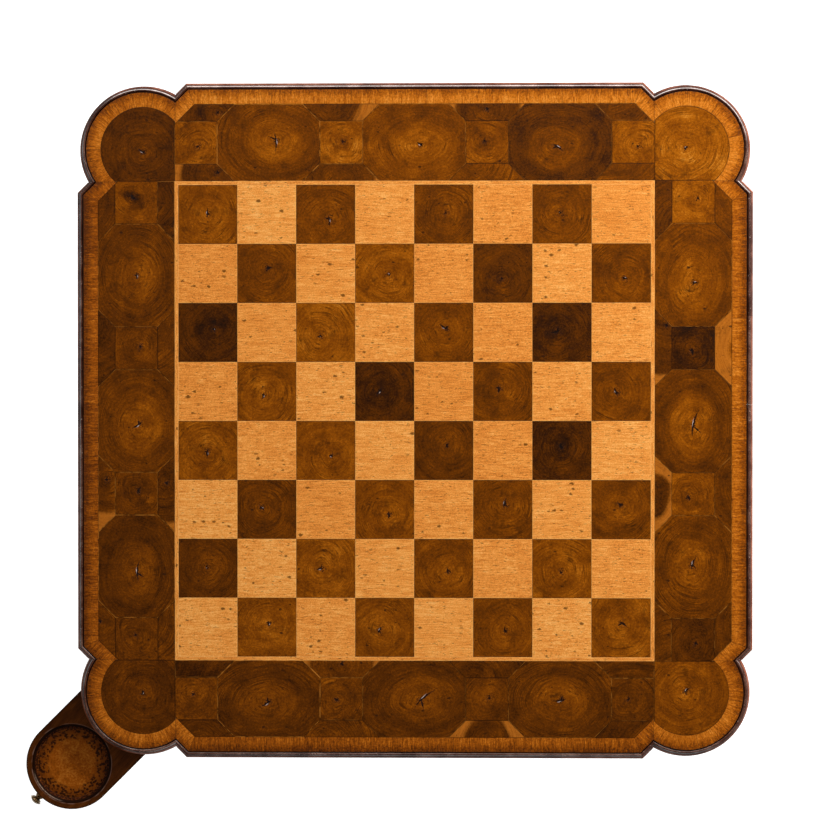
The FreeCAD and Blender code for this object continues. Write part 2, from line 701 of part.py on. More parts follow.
def pull_profile(scale):
    """Screw, rosette, waist and mushroom head along the turning axis."""
    dome = f"({scale} * 3.4)"
    head = f"({scale} * pull_head_r)"
    base, waist = f"({scale} * 4.8)", f"({scale} * 2.9)"
    tip = f"({scale} * pull_long)"
    return [
        ("-pull_shank", "0"), ("-pull_shank", "1.5"), ("0", "1.5"), ("0", base),
        (f"{scale} * 1.3", base, f"{scale} * 6", 1), (f"{scale} * 5", waist),
        (f"{scale} * 6.6", f"{head} - {scale} * 1.4", f"{scale} * 1.5", -1),
        (f"{tip} - {dome}", head, f"({head}^2 + {dome}^2) / (2 * {dome})", 1), (tip, "0"),
    ]


# ---------------------------------------------------------------- coaster slides

def coaster_slide(tag, turn, x, y, out):
    """A tongue with a round end, a turned dish with leather, and a brass pull on the end. out is how
    far the slide is drawn out along its diagonal."""
    along_x = f"{x} * (lobe_at + {out} / sqrt(2))"
    along_y = f"{y} * (lobe_at + {out} / sqrt(2))"
    top = "(-top_thick - slide_gap)"
    pull_x = f"{x} * (lobe_at + ({out} + slide_half) / sqrt(2))"
    pull_y = f"{y} * (lobe_at + ({out} + slide_half) / sqrt(2))"
    pull = turned(f"slide_pull_{tag}", pull_profile("1"), "H_Axis")
    place(pull, pull_x, pull_y, f"{top} - slide_thick / 2", str(turn + 45))

    body = new_body(f"slide_blank_{tag}")
    lug_end = "(-slide_tail + lug_long)"
    shape = [
        ("-slide_tail", "-lug_half"), (lug_end, "-lug_half"), (lug_end, "-slide_half"),
        ("0", "-slide_half", "slide_half", -1), ("slide_half", "0", "slide_half", -1), ("0", "slide_half"),
        (lug_end, "slide_half"), (lug_end, "lug_half"), ("-slide_tail", "lug_half"),
    ]
    tongue = pad(body, outline(body, f"slide_outline_{tag}", "XY_Plane", [shape]), "slide_thick", back=True)
    doc.recompute()
    whole = tongue.Shape.Volume
    dish = body.newObject("PartDesign::Groove", f"slide_dish_{tag}")
    hollow = outline(body, f"slide_dish_profile_{tag}", "XZ_Plane", [[
        ("0", "1"), ("dish_r", "1"), ("dish_r", "-dish_step"), ("dish_r - 1.5", "-dish_step", "9", 1),
        ("leather_r", "-dish_deep + 1.2"), ("leather_r", "-dish_deep"), ("0", "-dish_deep"),
    ]])
    dish.Profile = hollow
    dish.ReferenceAxis = (hollow, ["V_Axis"])
    dish.Angle = 360
    doc.recompute()
    expected = math.pi * size("dish_r") ** 2 * size("dish_deep")
    assert 0.7 * expected < whole - dish.Shape.Volume < expected, "the dish of " + tag
    place(body, along_x, along_y, top, str(turn + 45))
    tongue_drilled = cut(f"coaster_slide_{tag}", body, pull)

    leather = disc(
        f"slide_leather_{tag}", along_x, along_y, f"{top} - dish_deep", "leather_r - 0.05", "leather_thick")
    return [tongue_drilled, leather, pull]


slides = []
for number, (tag, x, y) in enumerate(CORNERS):
    drawn_out = "travel" if tag == "front_left" else "0"
    slides += coaster_slide(tag, 90 * number, x, y, drawn_out)

# ---------------------------------------------------------------- drawers

def drawer(tag, side):
    """A shallow drawer for the pieces: front, two sides, back, bottom in grooves and two knobs."""
    half = "(opening_half - drawer_gap)"
    low, high = f"({OPENING_LOW} + drawer_gap / 4)", f"({OPENING_TOP} - drawer_gap)"
    front_in = f"({FRIEZE} - drawer_front)"
    back_out = f"({FRIEZE} - drawer_deep)"
    floor_low = f"({OPENING_LOW} + drawer_floor_up)"
    floor_half = f"({half} - drawer_wall + drawer_groove)"
    bottom = block(
        f"drawer_{tag}_bottom", mirrored(side, back_out, f"({front_in} + drawer_groove)"),
        (f"-{floor_half}", floor_half), (floor_low, f"({floor_low} + drawer_floor)"))
    knobs = []
    for end in (1, -1):
        knob = turned(f"drawer_knob_{tag}_{len(knobs)}", pull_profile("knob_scale"), "H_Axis")
        middle = f"(({OPENING_LOW} + {OPENING_TOP}) / 2)"
        place(knob, f"{side} * {FRIEZE}", f"{end} * knob_apart / 2", middle, "0" if side > 0 else "180")
        knobs.append(knob)
    knobs = group(f"drawer_{tag}_knobs", *knobs)
    front_blank = block(
        f"drawer_front_blank_{tag}", mirrored(side, front_in, FRIEZE), (f"-{half}", half), (low, high))
    front = cut(f"drawer_{tag}_front", front_blank, group(f"drawer_front_tools_{tag}", bottom, knobs))
    walls = []
    wall_top = f"({high} - 3)"
    for end in (1, -1):
        across = mirrored(end, f"({half} - drawer_wall)", half)
        walls.append(block(
            f"drawer_wall_{tag}_{len(walls)}", mirrored(side, back_out, front_in), across, (low, wall_top)))
    sides = cut(f"drawer_{tag}_sides", group(f"drawer_walls_{tag}", *walls), bottom)
    inner = f"({half} - drawer_wall)"
    back = block(
        f"drawer_{tag}_back", mirrored(side, back_out, f"({back_out} + drawer_wall)"),
        (f"-{inner}", inner), (f"({floor_low} + drawer_floor)", wall_top))
    return [front, sides, back, bottom, knobs]


drawers = drawer("right", 1) + drawer("left", -1)

# ---------------------------------------------------------------- check and write

kept = [
    top_core, moulding_sides, moulding_returns, moulding_lobes, banding, *oysters, oyster_lobes,
    dark_squares, light_squares, board_stringing, *rails, corner_blocks, *inside_parts, screws, *turrets, *legs,
    brackets, *slides, *drawers,
]
doc.recompute()
for item in doc.Objects:
    bad = [word for word in item.State if word in ("Invalid", "Error")]
    assert not bad, f"{item.Name} is {bad}"
for item in kept:
    assert not item.Shape.isNull() and item.Shape.isValid(), item.Label
    item.Shape.exportStep(f"parts/{item.Label}.step")
    print(f"{item.Label:28s} {len(item.Shape.Solids):3d} solids {item.Shape.Volume / 1000:10.1f} cm3")
print(len(kept), "nodes")
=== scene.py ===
import math
import random

import bmesh
import bpy
from mathutils import Matrix, Vector


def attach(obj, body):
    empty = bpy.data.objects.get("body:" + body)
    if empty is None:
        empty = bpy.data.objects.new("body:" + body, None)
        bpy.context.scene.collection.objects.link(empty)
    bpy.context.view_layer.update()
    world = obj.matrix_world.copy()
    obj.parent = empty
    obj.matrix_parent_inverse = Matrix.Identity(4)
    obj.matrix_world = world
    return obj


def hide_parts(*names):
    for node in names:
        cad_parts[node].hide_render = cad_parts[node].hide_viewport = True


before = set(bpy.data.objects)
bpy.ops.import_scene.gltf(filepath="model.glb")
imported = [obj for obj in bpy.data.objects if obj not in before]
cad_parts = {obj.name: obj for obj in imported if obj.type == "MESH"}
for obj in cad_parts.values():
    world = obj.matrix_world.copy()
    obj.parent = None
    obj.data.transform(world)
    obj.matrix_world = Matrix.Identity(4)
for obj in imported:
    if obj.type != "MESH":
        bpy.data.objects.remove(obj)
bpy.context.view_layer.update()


# Carcass: the core under the veneers, the board that carries the slides, guide strips, glue blocks,
# runners, stops and the drawer linings. Quarter-sawn oak, planed, glued and left unpolished, so it
# has darkened unevenly with dust and handling.
class Shade:
    """A value in a finish. A sum written with it becomes Math nodes of that finish."""

    def __init__(self, finish, socket):
        self.finish, self.socket = finish, socket

    def sum(self, operation, *terms, clamp=False):
        settings = {"operation": operation, "use_clamp": clamp}
        return self.finish.node("ShaderNodeMath", settings, dict(enumerate(terms)))

    def __add__(self, other):
        return self.sum("ADD", self, other)

    def __sub__(self, other):
        return self.sum("SUBTRACT", self, other)

    def __rsub__(self, other):
        return self.sum("SUBTRACT", other, self)

    def __mul__(self, other):
        return self.sum("MULTIPLY", self, other)

    def __truediv__(self, other):
        return self.sum("DIVIDE", self, other)

    def __rtruediv__(self, other):
        return self.sum("DIVIDE", other, self)

    def __neg__(self):
        return self.sum("MULTIPLY", self, -1)

    def __abs__(self):
        return self.sum("ABSOLUTE", self)

    def __pow__(self, other):
        return self.sum("POWER", self, other)

    __radd__ = __add__
    __rmul__ = __mul__

    def kept(self):
        """The value kept between nought and one."""
        return self.sum("ADD", self, 0, clamp=True)

    def step(self, low, high):
        """Rises from nought at low to one at high, and falls where low is the greater."""
        settings = {"interpolation_type": "SMOOTHSTEP", "clamp": True}
        return self.finish.node(
            "ShaderNodeMapRange", settings, {0: self, 1: min(low, high), 2: max(low, high),
                                             3: float(low > high), 4: float(low < high)})


class Finish:
    """The nodes of a material, or of the room's world."""

    def __init__(self, name, kept_in=bpy.data.materials):
        self.material = kept_in.new(name)
        self.material.use_nodes = True
        self.tree = self.material.node_tree
        self.shader = self.tree.nodes.get("Principled BSDF") or self.tree.nodes["Background"]

    def node(self, kind, settings, sockets, output=0):
        made = self.tree.nodes.new(kind)
        for key, value in settings.items():
            if key == "stops":
                ramp = made.color_ramp
                while len(ramp.elements) < len(value):
                    ramp.elements.new(0.5)
                for element, (position, colour) in zip(ramp.elements, value):
                    element.position, element.color = position, colour
            else:
                setattr(made, key, value)
        self.join(made, sockets)
        return Shade(self, made.outputs[output])

    def join(self, made, sockets):
        for key, value in sockets.items():
            if isinstance(value, Shade):
                self.tree.links.new(value.socket, made.inputs[key])
            else:
                made.inputs[key].default_value = value

    def place(self):
        """Millimetres in the table's own frame."""
        return self.vector("SCALE", self.node("ShaderNodeTexCoord", {}, {}, "Object"), scale=1000)

    def mark(self, name, output="Vector"):
        """A value that a piece's mesh carries."""
        return self.node("ShaderNodeAttribute", {"attribute_name": name}, {}, output)

    def parts(self, vector):
        """The three parts of a vector."""
        made = self.node("ShaderNodeSeparateXYZ", {}, {0: vector}).socket.node
        return [Shade(self, socket) for socket in made.outputs]

    def point(self, x, y, z):
        return self.node("ShaderNodeCombineXYZ", {}, {0: x, 1: y, 2: z})

    def vector(self, operation, *terms, scale=None):
        sockets = dict(enumerate(terms))
        if scale is not None:
            sockets["Scale"] = scale
        output = 1 if operation in ("LENGTH", "DISTANCE", "DOT_PRODUCT") else 0
        return self.node("ShaderNodeVectorMath", {"operation": operation}, sockets, output)

    def turned(self, vector, angle):
        """The vector turned about Z."""
        return self.node(
            "ShaderNodeVectorRotate", {"rotation_type": "Z_AXIS"}, {"Vector": vector, "Angle": angle})

    def noise(self, vector, scale=1.0, detail=2.0, rough=0.5, output="Fac"):
        return self.node("ShaderNodeTexNoise", {}, {
            "Vector": vector, "Scale": scale, "Detail": detail, "Roughness": rough}, output)

    def wobble(self, vector, scale, reach, detail=1.0):
        """The vector moved about by up to reach."""
        stir = self.noise(vector, scale, detail, output="Color")
        stir = self.vector("SUBTRACT", stir, (0.5, 0.5, 0.5))
        return self.vector("ADD", vector, self.vector("SCALE", stir, scale=2 * reach))

    def scattered(self, vector, scale):
        """Spots strewn about: the distance from the nearest one, and two values of its own."""
        sockets = {"Vector": vector, "Scale": scale}
        gap = self.node("ShaderNodeTexVoronoi", {}, sockets, "Distance")
        lot, size, _ = self.parts(self.node("ShaderNodeTexVoronoi", {}, sockets, "Color"))
        return gap, lot, size

    def blend(self, factor, first, second):
        """The second colour laid over the first."""
        return self.node("ShaderNodeMix", {"data_type": "RGBA"}, {0: factor, 6: first, 7: second}, 2)

    def ramp(self, factor, *stops):
        return self.node("ShaderNodeValToRGB", {"stops": stops}, {0: factor})

    def surface(self, colour, roughness, relief=None, depth=0.0, **fixed):
        """Feeds the shader: relief is a height that depth, in metres, scales."""
        self.join(self.shader, {"Base Color": colour, "Roughness": roughness, **{
            key.replace("_", " "): value for key, value in fixed.items()}})
        if relief is not None:
            made = self.node(
                "ShaderNodeBump", {}, {"Strength": 1.0, "Distance": depth, "Height": relief})
            self.join(self.shader, {"Normal": made})
        return self


def paint(code):
    """A six-figure colour code in linear light."""
    parts = [int(code[i:i + 2], 16) / 255 for i in (0, 2, 4)]
    return tuple(v / 12.92 if v < 0.04045 else ((v + 0.055) / 1.055) ** 2.4 for v in parts) + (1.0,)


def dress(finish, *names):
    """Gives CAD pieces their finish."""
    for name in names:
        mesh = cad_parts[name].data
        mesh.materials.clear()
        mesh.materials.append(finish.material)


def grained(finish, axis):
    """Millimetres with the grain along X: axis says where the grain runs."""
    x, y, z = finish.parts(finish.place())
    return finish.point(*{"X": (x, y, z), "Y": (y, x, z), "Z": (z, x, y)}[axis])


def oak_finish(name, axis):
    finish = Finish(name)
    along = finish.wobble(grained(finish, axis), 0.02, 3)
    streak = finish.noise(finish.vector("MULTIPLY", along, (0.012, 0.5, 0.5)), 1, 4)
    pores = finish.noise(finish.vector("MULTIPLY", along, (0.09, 2.2, 2.2)), 1, 2).step(0.62, 0.72)
    flakes = finish.noise(finish.vector("MULTIPLY", along, (0.35, 0.16, 0.16)), 1, 1).step(0.66, 0.7)
    dust = finish.noise(finish.place(), 0.012, 4)
    colour = finish.ramp(
        streak * 0.8 + dust * 0.5 - 0.15, (0.25, paint("6E4F30")), (0.75, paint("A98559")))
    colour = finish.blend(flakes * 0.25, colour, paint("C9A877"))
    colour = finish.blend(pores * 0.55, colour, paint("4A3420"))
    return finish.surface(
        colour, 0.78 - flakes * 0.15 + dust * 0.1, streak * 0.4 - pores, 0.00015,
        Specular_IOR_Level=0.3)


oak_across = oak_finish("oak_across", "X")
oak_along = oak_finish("oak_along", "Y")
dress(
    oak_across, "top_core", "slide_guides", "slide_stops", "glue_blocks", "drawer_stops",
    "drawer_runners")
dress(oak_along, "dust_board")


# Frieze: rails, stiles and corner blocks in walnut, tenoned and glued, with a half-round bead
# planted along the foot. Oil and wax polish over an old stain, worn lighter along the arrises.
def walnut_finish(name, axis, light, mid, dark):
    finish = Finish(name)
    along = finish.wobble(grained(finish, axis), 0.011, 9, 2)
    figure = finish.noise(finish.vector("MULTIPLY", along, (0.006, 0.09, 0.09)), 1, 5, 0.6)
    lines = finish.noise(finish.vector("MULTIPLY", along, (0.02, 0.9, 0.9)), 1, 3)
    pores = finish.noise(finish.vector("MULTIPLY", along, (0.16, 3.0, 3.0)), 1, 1).step(0.6, 0.72)
    wear = finish.noise(finish.place(), 0.03, 5, 0.6)
    tone = figure * 1.3 + lines * 0.35 + wear * 0.25 - 0.45
    colour = finish.ramp(tone, (0.22, paint(dark)), (0.5, paint(mid)), (0.82, paint(light)))
    colour = finish.blend(pores * 0.5, colour, paint("1B0D05"))
    return finish.surface(
        colour, 0.34 + wear * 0.14 + pores * 0.1, lines * 0.3 - pores, 0.00008, Specular_IOR_Level=0.4)


walnut_across = walnut_finish("walnut_across", "X", "94541C", "64320C", "341704")
walnut_along = walnut_finish("walnut_along", "Y", "94541C", "64320C", "341704")
walnut_upright = walnut_finish("walnut_upright", "Z", "8A4E1C", "5C2E0C", "301504")
dress(walnut_across, "plain_rails")
dress(walnut_along, "drawer_upper_rails", "drawer_lower_rails")
dress(walnut_upright, "drawer_stiles", "frieze_corner_blocks", "frieze_bead", "knee_brackets")


# Turrets and legs: each corner has a round block under its lobe with a cabriole leg tenoned up into
# it. Solid walnut, shaped and scraped, then polished like the frieze.
CORNERS = {"back_right": (1, 1), "back_left": (-1, 1), "front_left": (-1, -1), "front_right": (1, -1)}
for corner in CORNERS:
    dress(walnut_upright, "turret_" + corner, "leg_" + corner)


# Guide screws: steel screws with countersunk heads, driven up through the slides' guide strips into
# the core, two to a strip. They have browned with age.
steel = Finish("old_steel")
rust = steel.noise(steel.place(), 0.9, 4).step(0.45, 0.7)
steel.surface(steel.blend(rust, paint("77716A"), paint("4A2E1C")), 0.42 + rust * 0.4, Metallic=0.9)
dress(steel, "guide_screws")


# Coaster slides: a walnut tongue with a round end in every corner, turned out to a dish for a glass,
# and oiled rather than polished. It runs between guides, and one is drawn out.
LOBE_AT, TRAVEL = 0.3069, 0.1216
dish_at = {
    corner: LOBE_AT + (TRAVEL / math.sqrt(2) if corner == "front_left" else 0) for corner in CORNERS}


def slide_finish(name, angle, middle):
    """out is the distance from the middle of the dish, and ahead is how far a point lies past it."""
    finish = Finish(name)
    place = finish.place()
    x, y, _ = finish.parts(place)
    out = finish.vector("LENGTH", finish.point(abs(x) - middle, abs(y) - middle, 0))
    ahead = abs(x) + abs(y) - 2 * middle
    along = finish.wobble(finish.turned(place, angle), 0.013, 6, 2)
    figure = finish.noise(finish.vector("MULTIPLY", along, (0.012, 0.14, 0.14)), 1, 5, 0.6)
    lines = finish.noise(finish.vector("MULTIPLY", along, (0.04, 1.3, 1.3)), 1, 3, 0.6)
    pores = finish.noise(finish.vector("MULTIPLY", along, (0.25, 3.2, 3.2)), 1, 1).step(0.56, 0.7)
    wear = finish.noise(place, 0.05, 4)
    tone = figure * 0.85 + lines * 0.5 + wear * 0.45 - 0.42
    colour = finish.ramp(tone, (0.2, paint("301403")), (0.5, paint("522807")), (0.85, paint("784014")))
    colour = finish.blend(pores * 0.5, colour, paint("180900"))
    speckle = finish.noise(place, 0.5, 3, 0.7)
    floor = finish.ramp(
        speckle, (0.42, paint("120500")), (0.56, paint("48200A")), (0.72, paint("8A4C18")))
    colour = finish.blend(out.step(43.2, 42.4), colour, floor)
    # Painted shade: the wall of the dish is darkened nearly to black, with a speckled edge towards its
    # floor.
    darkening = out.step(45.7, 45.1) * (out + (speckle - 0.5) * 1.6).step(41.9, 42.9)
    colour = finish.blend(darkening * 0.93, colour, paint("0C0402"))
    # Painted highlight: a broken pale grey line round the rim of the dish.
    lip = out.step(45.2, 45.7) * out.step(46.8, 46.2) * finish.noise(place, 0.08, 3).step(0.4, 0.6)
    colour = finish.blend(lip * 0.5, colour, paint("8C6E60"))
    # Painted highlight: a pale speckled arc on the dish wall, on the side away from the table's middle.
    wall_highlight = out.step(43.6, 44.2) * out.step(45.2, 44.7) * (ahead / out).step(1.15, 1.4)
    colour = finish.blend(wall_highlight * speckle.step(0.35, 0.55) * 0.7, colour, paint("A88C78"))
    # Painted shade: a dark line along the slide's outline, round its end and down its sides.
    beyond = ahead.sum("MAXIMUM", ahead, 0) * math.sqrt(0.5)
    brim = finish.vector("LENGTH", finish.point(beyond, (abs(x) - abs(y)) * math.sqrt(0.5), 0))
    colour = finish.blend(brim.step(50.4, 51.4) * 0.7, colour, paint("160A04"))
    return finish.surface(
        colour, 0.5 + wear * 0.14 + darkening * 0.1, lines * 0.3 - pores, 0.00008, Specular_IOR_Level=0.06)


for corner, (x, y) in CORNERS.items():
    oiled = slide_finish("slide_walnut_" + corner, -x * y * math.pi / 4, dish_at[corner] * 1000)
    dress(oiled, "coaster_slide_" + corner)


# Leather: a round of hide glued in the floor of each dish, tooled with a ring of small stamps near
# its edge and darkened there by wax, paler where glasses have stood.
LEATHER_R, LEATHER_LOW, LEATHER_TOP, LEATHER_EDGE = 0.0397, -0.0284, -0.0272, 0.0004

leather = Finish("tooled_hide")
span = leather.vector("SUBTRACT", leather.place(), leather.mark("round"))
round_x, round_y, _ = leather.parts(span)
out = leather.vector("LENGTH", leather.point(round_x, round_y, 0))
bearing = round_y.sum("ARCTAN2", round_y, round_x)
mottle = leather.noise(leather.place(), 0.1, 5, 0.65)
smudge = leather.noise(leather.place(), 0.45, 3, 0.7)
pebble = leather.node("ShaderNodeTexVoronoi", {"feature": "DISTANCE_TO_EDGE"}, {
    "Vector": leather.wobble(leather.place(), 0.6, 0.4), "Scale": 1.1}).step(0.0, 0.12)
stir = leather.wobble(leather.point(bearing * 32 / math.pi, out / 2.6, 0), 2.2, 0.34, 2)
stamps = leather.node("ShaderNodeTexVoronoi", {}, {"Vector": stir, "Scale": 1.0}).step(0.62, 0.42)
ring = (out + (smudge - 0.5) * 9).step(26, 30) * (out + (smudge - 0.5) * 3).step(41, 39.5)
tooled = stamps * ring * leather.noise(leather.place(), 0.16, 3).step(0.36, 0.5)
edge = (out + (mottle - 0.5) * 18).step(28, 38)
hide = leather.ramp(
    mottle * 0.8 + (smudge - 0.5) * 0.9 + 0.1 - edge * 0.06,
    (0.15, paint("5C2A00")), (0.5, paint("A65408")), (0.85, paint("D8862C")))
hide = leather.blend(edge * 0.36 + ring * 0.1 + (smudge - 0.45) * ring * 1.4, hide, paint("381606"))
hide = leather.blend(tooled * 0.9, hide, paint("100500"))
hide = leather.blend((1 - pebble) * 0.2, hide, paint("2C1205"))
leather.surface(
    hide, 0.55 + mottle * 0.2 - tooled * 0.1, pebble * 0.35 - tooled, 0.0003, Specular_IOR_Level=0.08)

eased_edge, plain_rim, groove_in, groove_out, plain_ring = (
    (0.0006, LEATHER_EDGE), (0.0046, 0), (0.0004, -0.00025), (0.0005, 0.00025), (0.006, 0))
for corner, (x, y) in CORNERS.items():
    at = Vector((x, y, 0)) * dish_at[corner]
    round_hide = bmesh.new()
    disc = bmesh.ops.create_circle(round_hide, cap_ends=True, segments=120, radius=LEATHER_R)
    faces = list(disc["verts"][0].link_faces)
    for wide, deep in (eased_edge, plain_rim, groove_in, groove_out, plain_ring):
        bmesh.ops.inset_region(
            round_hide, faces=faces, thickness=wide, depth=deep, use_even_offset=True)
    skirt = [e for e in round_hide.edges if e.is_boundary]
    wall = bmesh.ops.extrude_edge_only(round_hide, edges=skirt)
    low = [v for v in wall["geom"] if isinstance(v, bmesh.types.BMVert)]
    bmesh.ops.translate(round_hide, verts=low, vec=(0, 0, LEATHER_LOW - LEATHER_TOP + LEATHER_EDGE))
    bmesh.ops.contextual_create(round_hide, geom=low)
    bmesh.ops.recalc_face_normals(round_hide, faces=round_hide.faces[:])
    bmesh.ops.translate(
        round_hide, verts=round_hide.verts[:], vec=(at.x, at.y, LEATHER_TOP - LEATHER_EDGE))
    centre = round_hide.faces.layers.float_vector.new("round")
    for face in round_hide.faces:
        face[centre] = at * 1000
    mesh = bpy.data.meshes.new("tooled_leather_" + corner)
    round_hide.to_mesh(mesh)
    round_hide.free()
    mesh.materials.append(leather.material)
    piece = bpy.data.objects.new("tooled_leather_" + corner, mesh)
    bpy.context.scene.collection.objects.link(piece)
    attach(piece, "slide_" + corner)
    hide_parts("slide_leather_" + corner)


# Pulls and knobs: turned brass, screwed into the ends of the slides and the drawer fronts. The old
# lacquer has gone brown in the hollows, and the pale spots in the brass's colour are painted
# highlights.
brass = Finish("old_brass")
tarnish_and_gleam = brass.noise(brass.place(), 0.5, 5, 0.65)
spots = brass.noise(brass.place(), 1.6, 3).step(0.55, 0.75)
# The ramp runs from tarnish at its dark end to painted highlight at its pale end.
metal = brass.ramp(tarnish_and_gleam, (0.42, paint("140A02")), (0.53, paint("6E4E22")), (0.66, paint("FFE6B4")))
metal = brass.blend(spots * 0.7, metal, paint("241506"))
brass.surface(metal, 0.2 + tarnish_and_gleam * 0.2 + spots * 0.2, tarnish_and_gleam, 0.0002, Metallic=0.7)
dress(brass, "drawer_right_knobs", "drawer_left_knobs", *("slide_pull_" + corner for corner in CORNERS))


# Drawers: walnut fronts polished like the frieze, with plain oak sides, back and bottom, nailed
# together at the corners. The bottom sits in grooves.
dress(walnut_along, "drawer_right_front", "drawer_left_front")
dress(oak_across, "drawer_right_sides", "drawer_left_sides")
dress(oak_along, "drawer_right_back", "drawer_left_back", "drawer_right_bottom", "drawer_left_bottom")


# Dark squares: slices cut across a small branch, so that each shows its rings, pith and drying
# cracks. Laid on the core with glue, edge to edge with the light squares, scraped flush.
VENEER, SQUARE, JOINT, WORN = 0.0015, 0.0667, 0.0007, 0.00005


def oyster_finish():
    """r and around: the distance and the bearing from the pith of the slice that a piece was cut from."""
    finish = Finish("oyster_walnut")
    place = finish.place()
    pith_x, pith_y, seed = finish.parts(finish.mark("pith"))
    stretch, angle, tone = finish.parts(finish.mark("cut"))
    sap, crack, light_edge = finish.parts(finish.mark("age"))
    heart, warmth, gleams = finish.parts(finish.mark("heart"))
    rim = finish.mark("rim", "Fac")
    x, y, _ = finish.parts(place)
    from_pith = finish.point(x - pith_x, y - pith_y, 0)
    long_x, long_y, _ = finish.parts(finish.turned(from_pith, -angle))
    slice_at = finish.point(long_x / stretch, long_y * stretch, seed * 37)
    wavy = finish.wobble(finish.wobble(slice_at, 0.03, 4), 0.25, 0.35)
    wavy_x, wavy_y, _ = finish.parts(wavy)
    r = finish.vector("LENGTH", finish.point(wavy_x, wavy_y, 0))
    around = finish.vector("NORMALIZE", finish.point(wavy_x, wavy_y, 0.001))
    around_x, around_y, _ = finish.parts(around)
    # Rings, the arcs of single dark years, the redder heart and the sapwood outside.
    fine = finish.noise(finish.point(r * 0.55, around_x * 0.8 + seed * 11, around_y * 0.8), 1, 4, 0.85)
    broad = finish.noise(finish.point(r * 0.13 + seed * 5, around_x * 0.6, around_y * 0.6), 1, 2)
    swirl = finish.noise(finish.point(around_x * 0.9, around_y * 0.9, seed * 7 + r * 0.01), 1, 2)
    cloud = finish.noise(finish.vector("ADD", place, finish.point(seed * 90, 0, 0)), 0.05, 4, 0.6)
    dust = finish.noise(place, 0.42, 4, 0.85)
    years = finish.noise(finish.point(r * 0.42 + seed * 9, around_x * 0.5, around_y * 0.5), 1, 1)
    arcs = abs(years - 0.5).step(0.05, 0.01) * (swirl + cloud * 0.6).step(0.75, 0.95)
    within = (r + (swirl - 0.5) * 16 + (cloud - 0.5) * 14 - heart).step(8, -8)
    level = (tone + (fine - 0.5) * (0.44 + r.step(22, 5) * 0.12) + (broad - 0.5) * 0.26
             + (swirl - 0.5) * 0.3 + (cloud - 0.5) * 0.52 + (dust - 0.5) * 0.85
             + (within - 0.5) * warmth - arcs * 0.12)
    colour = finish.ramp(
        level, (0.0, paint("0A0300")), (0.2, paint("2E1300")), (0.45, paint("623000")),
        (0.62, paint("824200")), (0.8, paint("AC6008")), (1.0, paint("D68C30")))
    outer = (r + (swirl - 0.5) * 8 + (dust - 0.5) * 4 - sap).step(-2.5, 3.5)
    colour = finish.blend(outer * 0.9, colour, finish.ramp(
        fine * 0.6 + dust * 0.4, (0.3, paint("8E4806")), (0.7, paint("CE7A24"))))
    # A drying crack through the pith with one arm and a pit, and light caught in it.
    ragged = finish.noise(finish.vector("ADD", place, finish.point(0, 0, seed * 30)), 0.7, 3, 0.6) - 0.5
    run, side, _ = finish.parts(finish.turned(from_pith, angle + seed * 25))
    gash = (1.5 - abs(run / crack - 0.25) * 1.2) - abs(side + run * run / crack * 0.15 + ragged * 3.4)
    arm_run, arm_side, _ = finish.parts(finish.turned(from_pith, angle + seed * 25 + 2.1))
    arm = 1.1 - abs(arm_run / crack - 0.35) * 1.7 - abs(arm_side + ragged * 3.0)
    pit = 0.15 - r * 0.12 + ragged * 3.2
    split = gash.sum("MAXIMUM", gash, arm)
    split = split.sum("MAXIMUM", split, pit).step(-0.12, 0.25)
    gleam = 0.5 - abs(run / crack - 0.3) * 1.1 - abs(side - 0.7 + ragged * 1.6)
    gleam = gleam.step(-0.05, 0.25) * gleams
    # Pin knots, flecks, specks, smudges of dirt and the joint round the piece.
    shift = finish.vector("ADD", place, finish.point(0, 0, seed * 50))
    flaw = finish.wobble(finish.vector("MULTIPLY", shift, (1, 1.5, 1)), 0.4, 1.5, 3)
    gap, lot, size = finish.scattered(flaw, 0.1)
    knot = (size * size * 0.2 + 0.03 - gap).step(-0.01, 0.07) * lot.step(0.45, 0.6)
    fleck = finish.noise(shift, 0.2, 5, 0.75).step(0.61, 0.68) * 0.75
    speck = finish.noise(shift, 0.8, 2, 0.6).step(0.66, 0.74) * 0.6
    fleck = fleck.sum("MAXIMUM", fleck, knot)
    fleck = fleck.sum("MAXIMUM", fleck, speck)
    smudge = finish.noise(shift, 0.07, 4, 0.65).step(0.53, 0.72)
    colour = finish.blend(smudge * 0.45 + arcs * 0.35, colour, paint("1E0C00"))
    colour = finish.blend(fleck * 0.75, colour, paint("180A01"))
    colour = finish.blend(split * 0.96, colour, paint("050100"))
    colour = finish.blend(gleam * 0.9, colour, paint("D0B8AE"))
    worn = finish.noise(place, 0.12, 3)
    joint = (1 - rim).kept() ** 0.6
    colour = finish.blend(joint * (0.5 + worn * 0.7), colour, finish.blend(
        light_edge * worn.step(0.35, 0.6), paint("120600"), paint("C87E2C")))
    pores = finish.noise(place, 2.2, 1)
    return finish.surface(
        colour, 0.3 + worn * 0.18 + fleck * 0.15 + split * 0.3,
        (fine - 0.5) * 0.12 + pores * 0.05 - split - fleck * 0.3, 0.00012, Specular_IOR_Level=0.15)


oyster = oyster_finish()


def veneer_bench(*marks):
    """An empty mesh whose pieces carry these marks."""
    bench = bmesh.new()
    bench.verts.layers.float.new("rim")
    bench.loops.layers.uv.new("along")
    for mark in marks:
        bench.faces.layers.float_vector.new(mark)
    return bench


def sheet(bench, low, high, cuts=()):
    """A flat sheet between two corners. A cut is a point on it and the way to the waste."""
    size = Vector(high) - Vector(low)
    middle = (Vector(high) + Vector(low)) / 2
    place = Matrix.Translation((middle.x, middle.y, -WORN)) @ Matrix.Diagonal((size.x, size.y, 1, 1))
    made = bmesh.ops.create_grid(bench, x_segments=1, y_segments=1, size=0.5, matrix=place)
    return trim(bench, made["verts"], cuts)


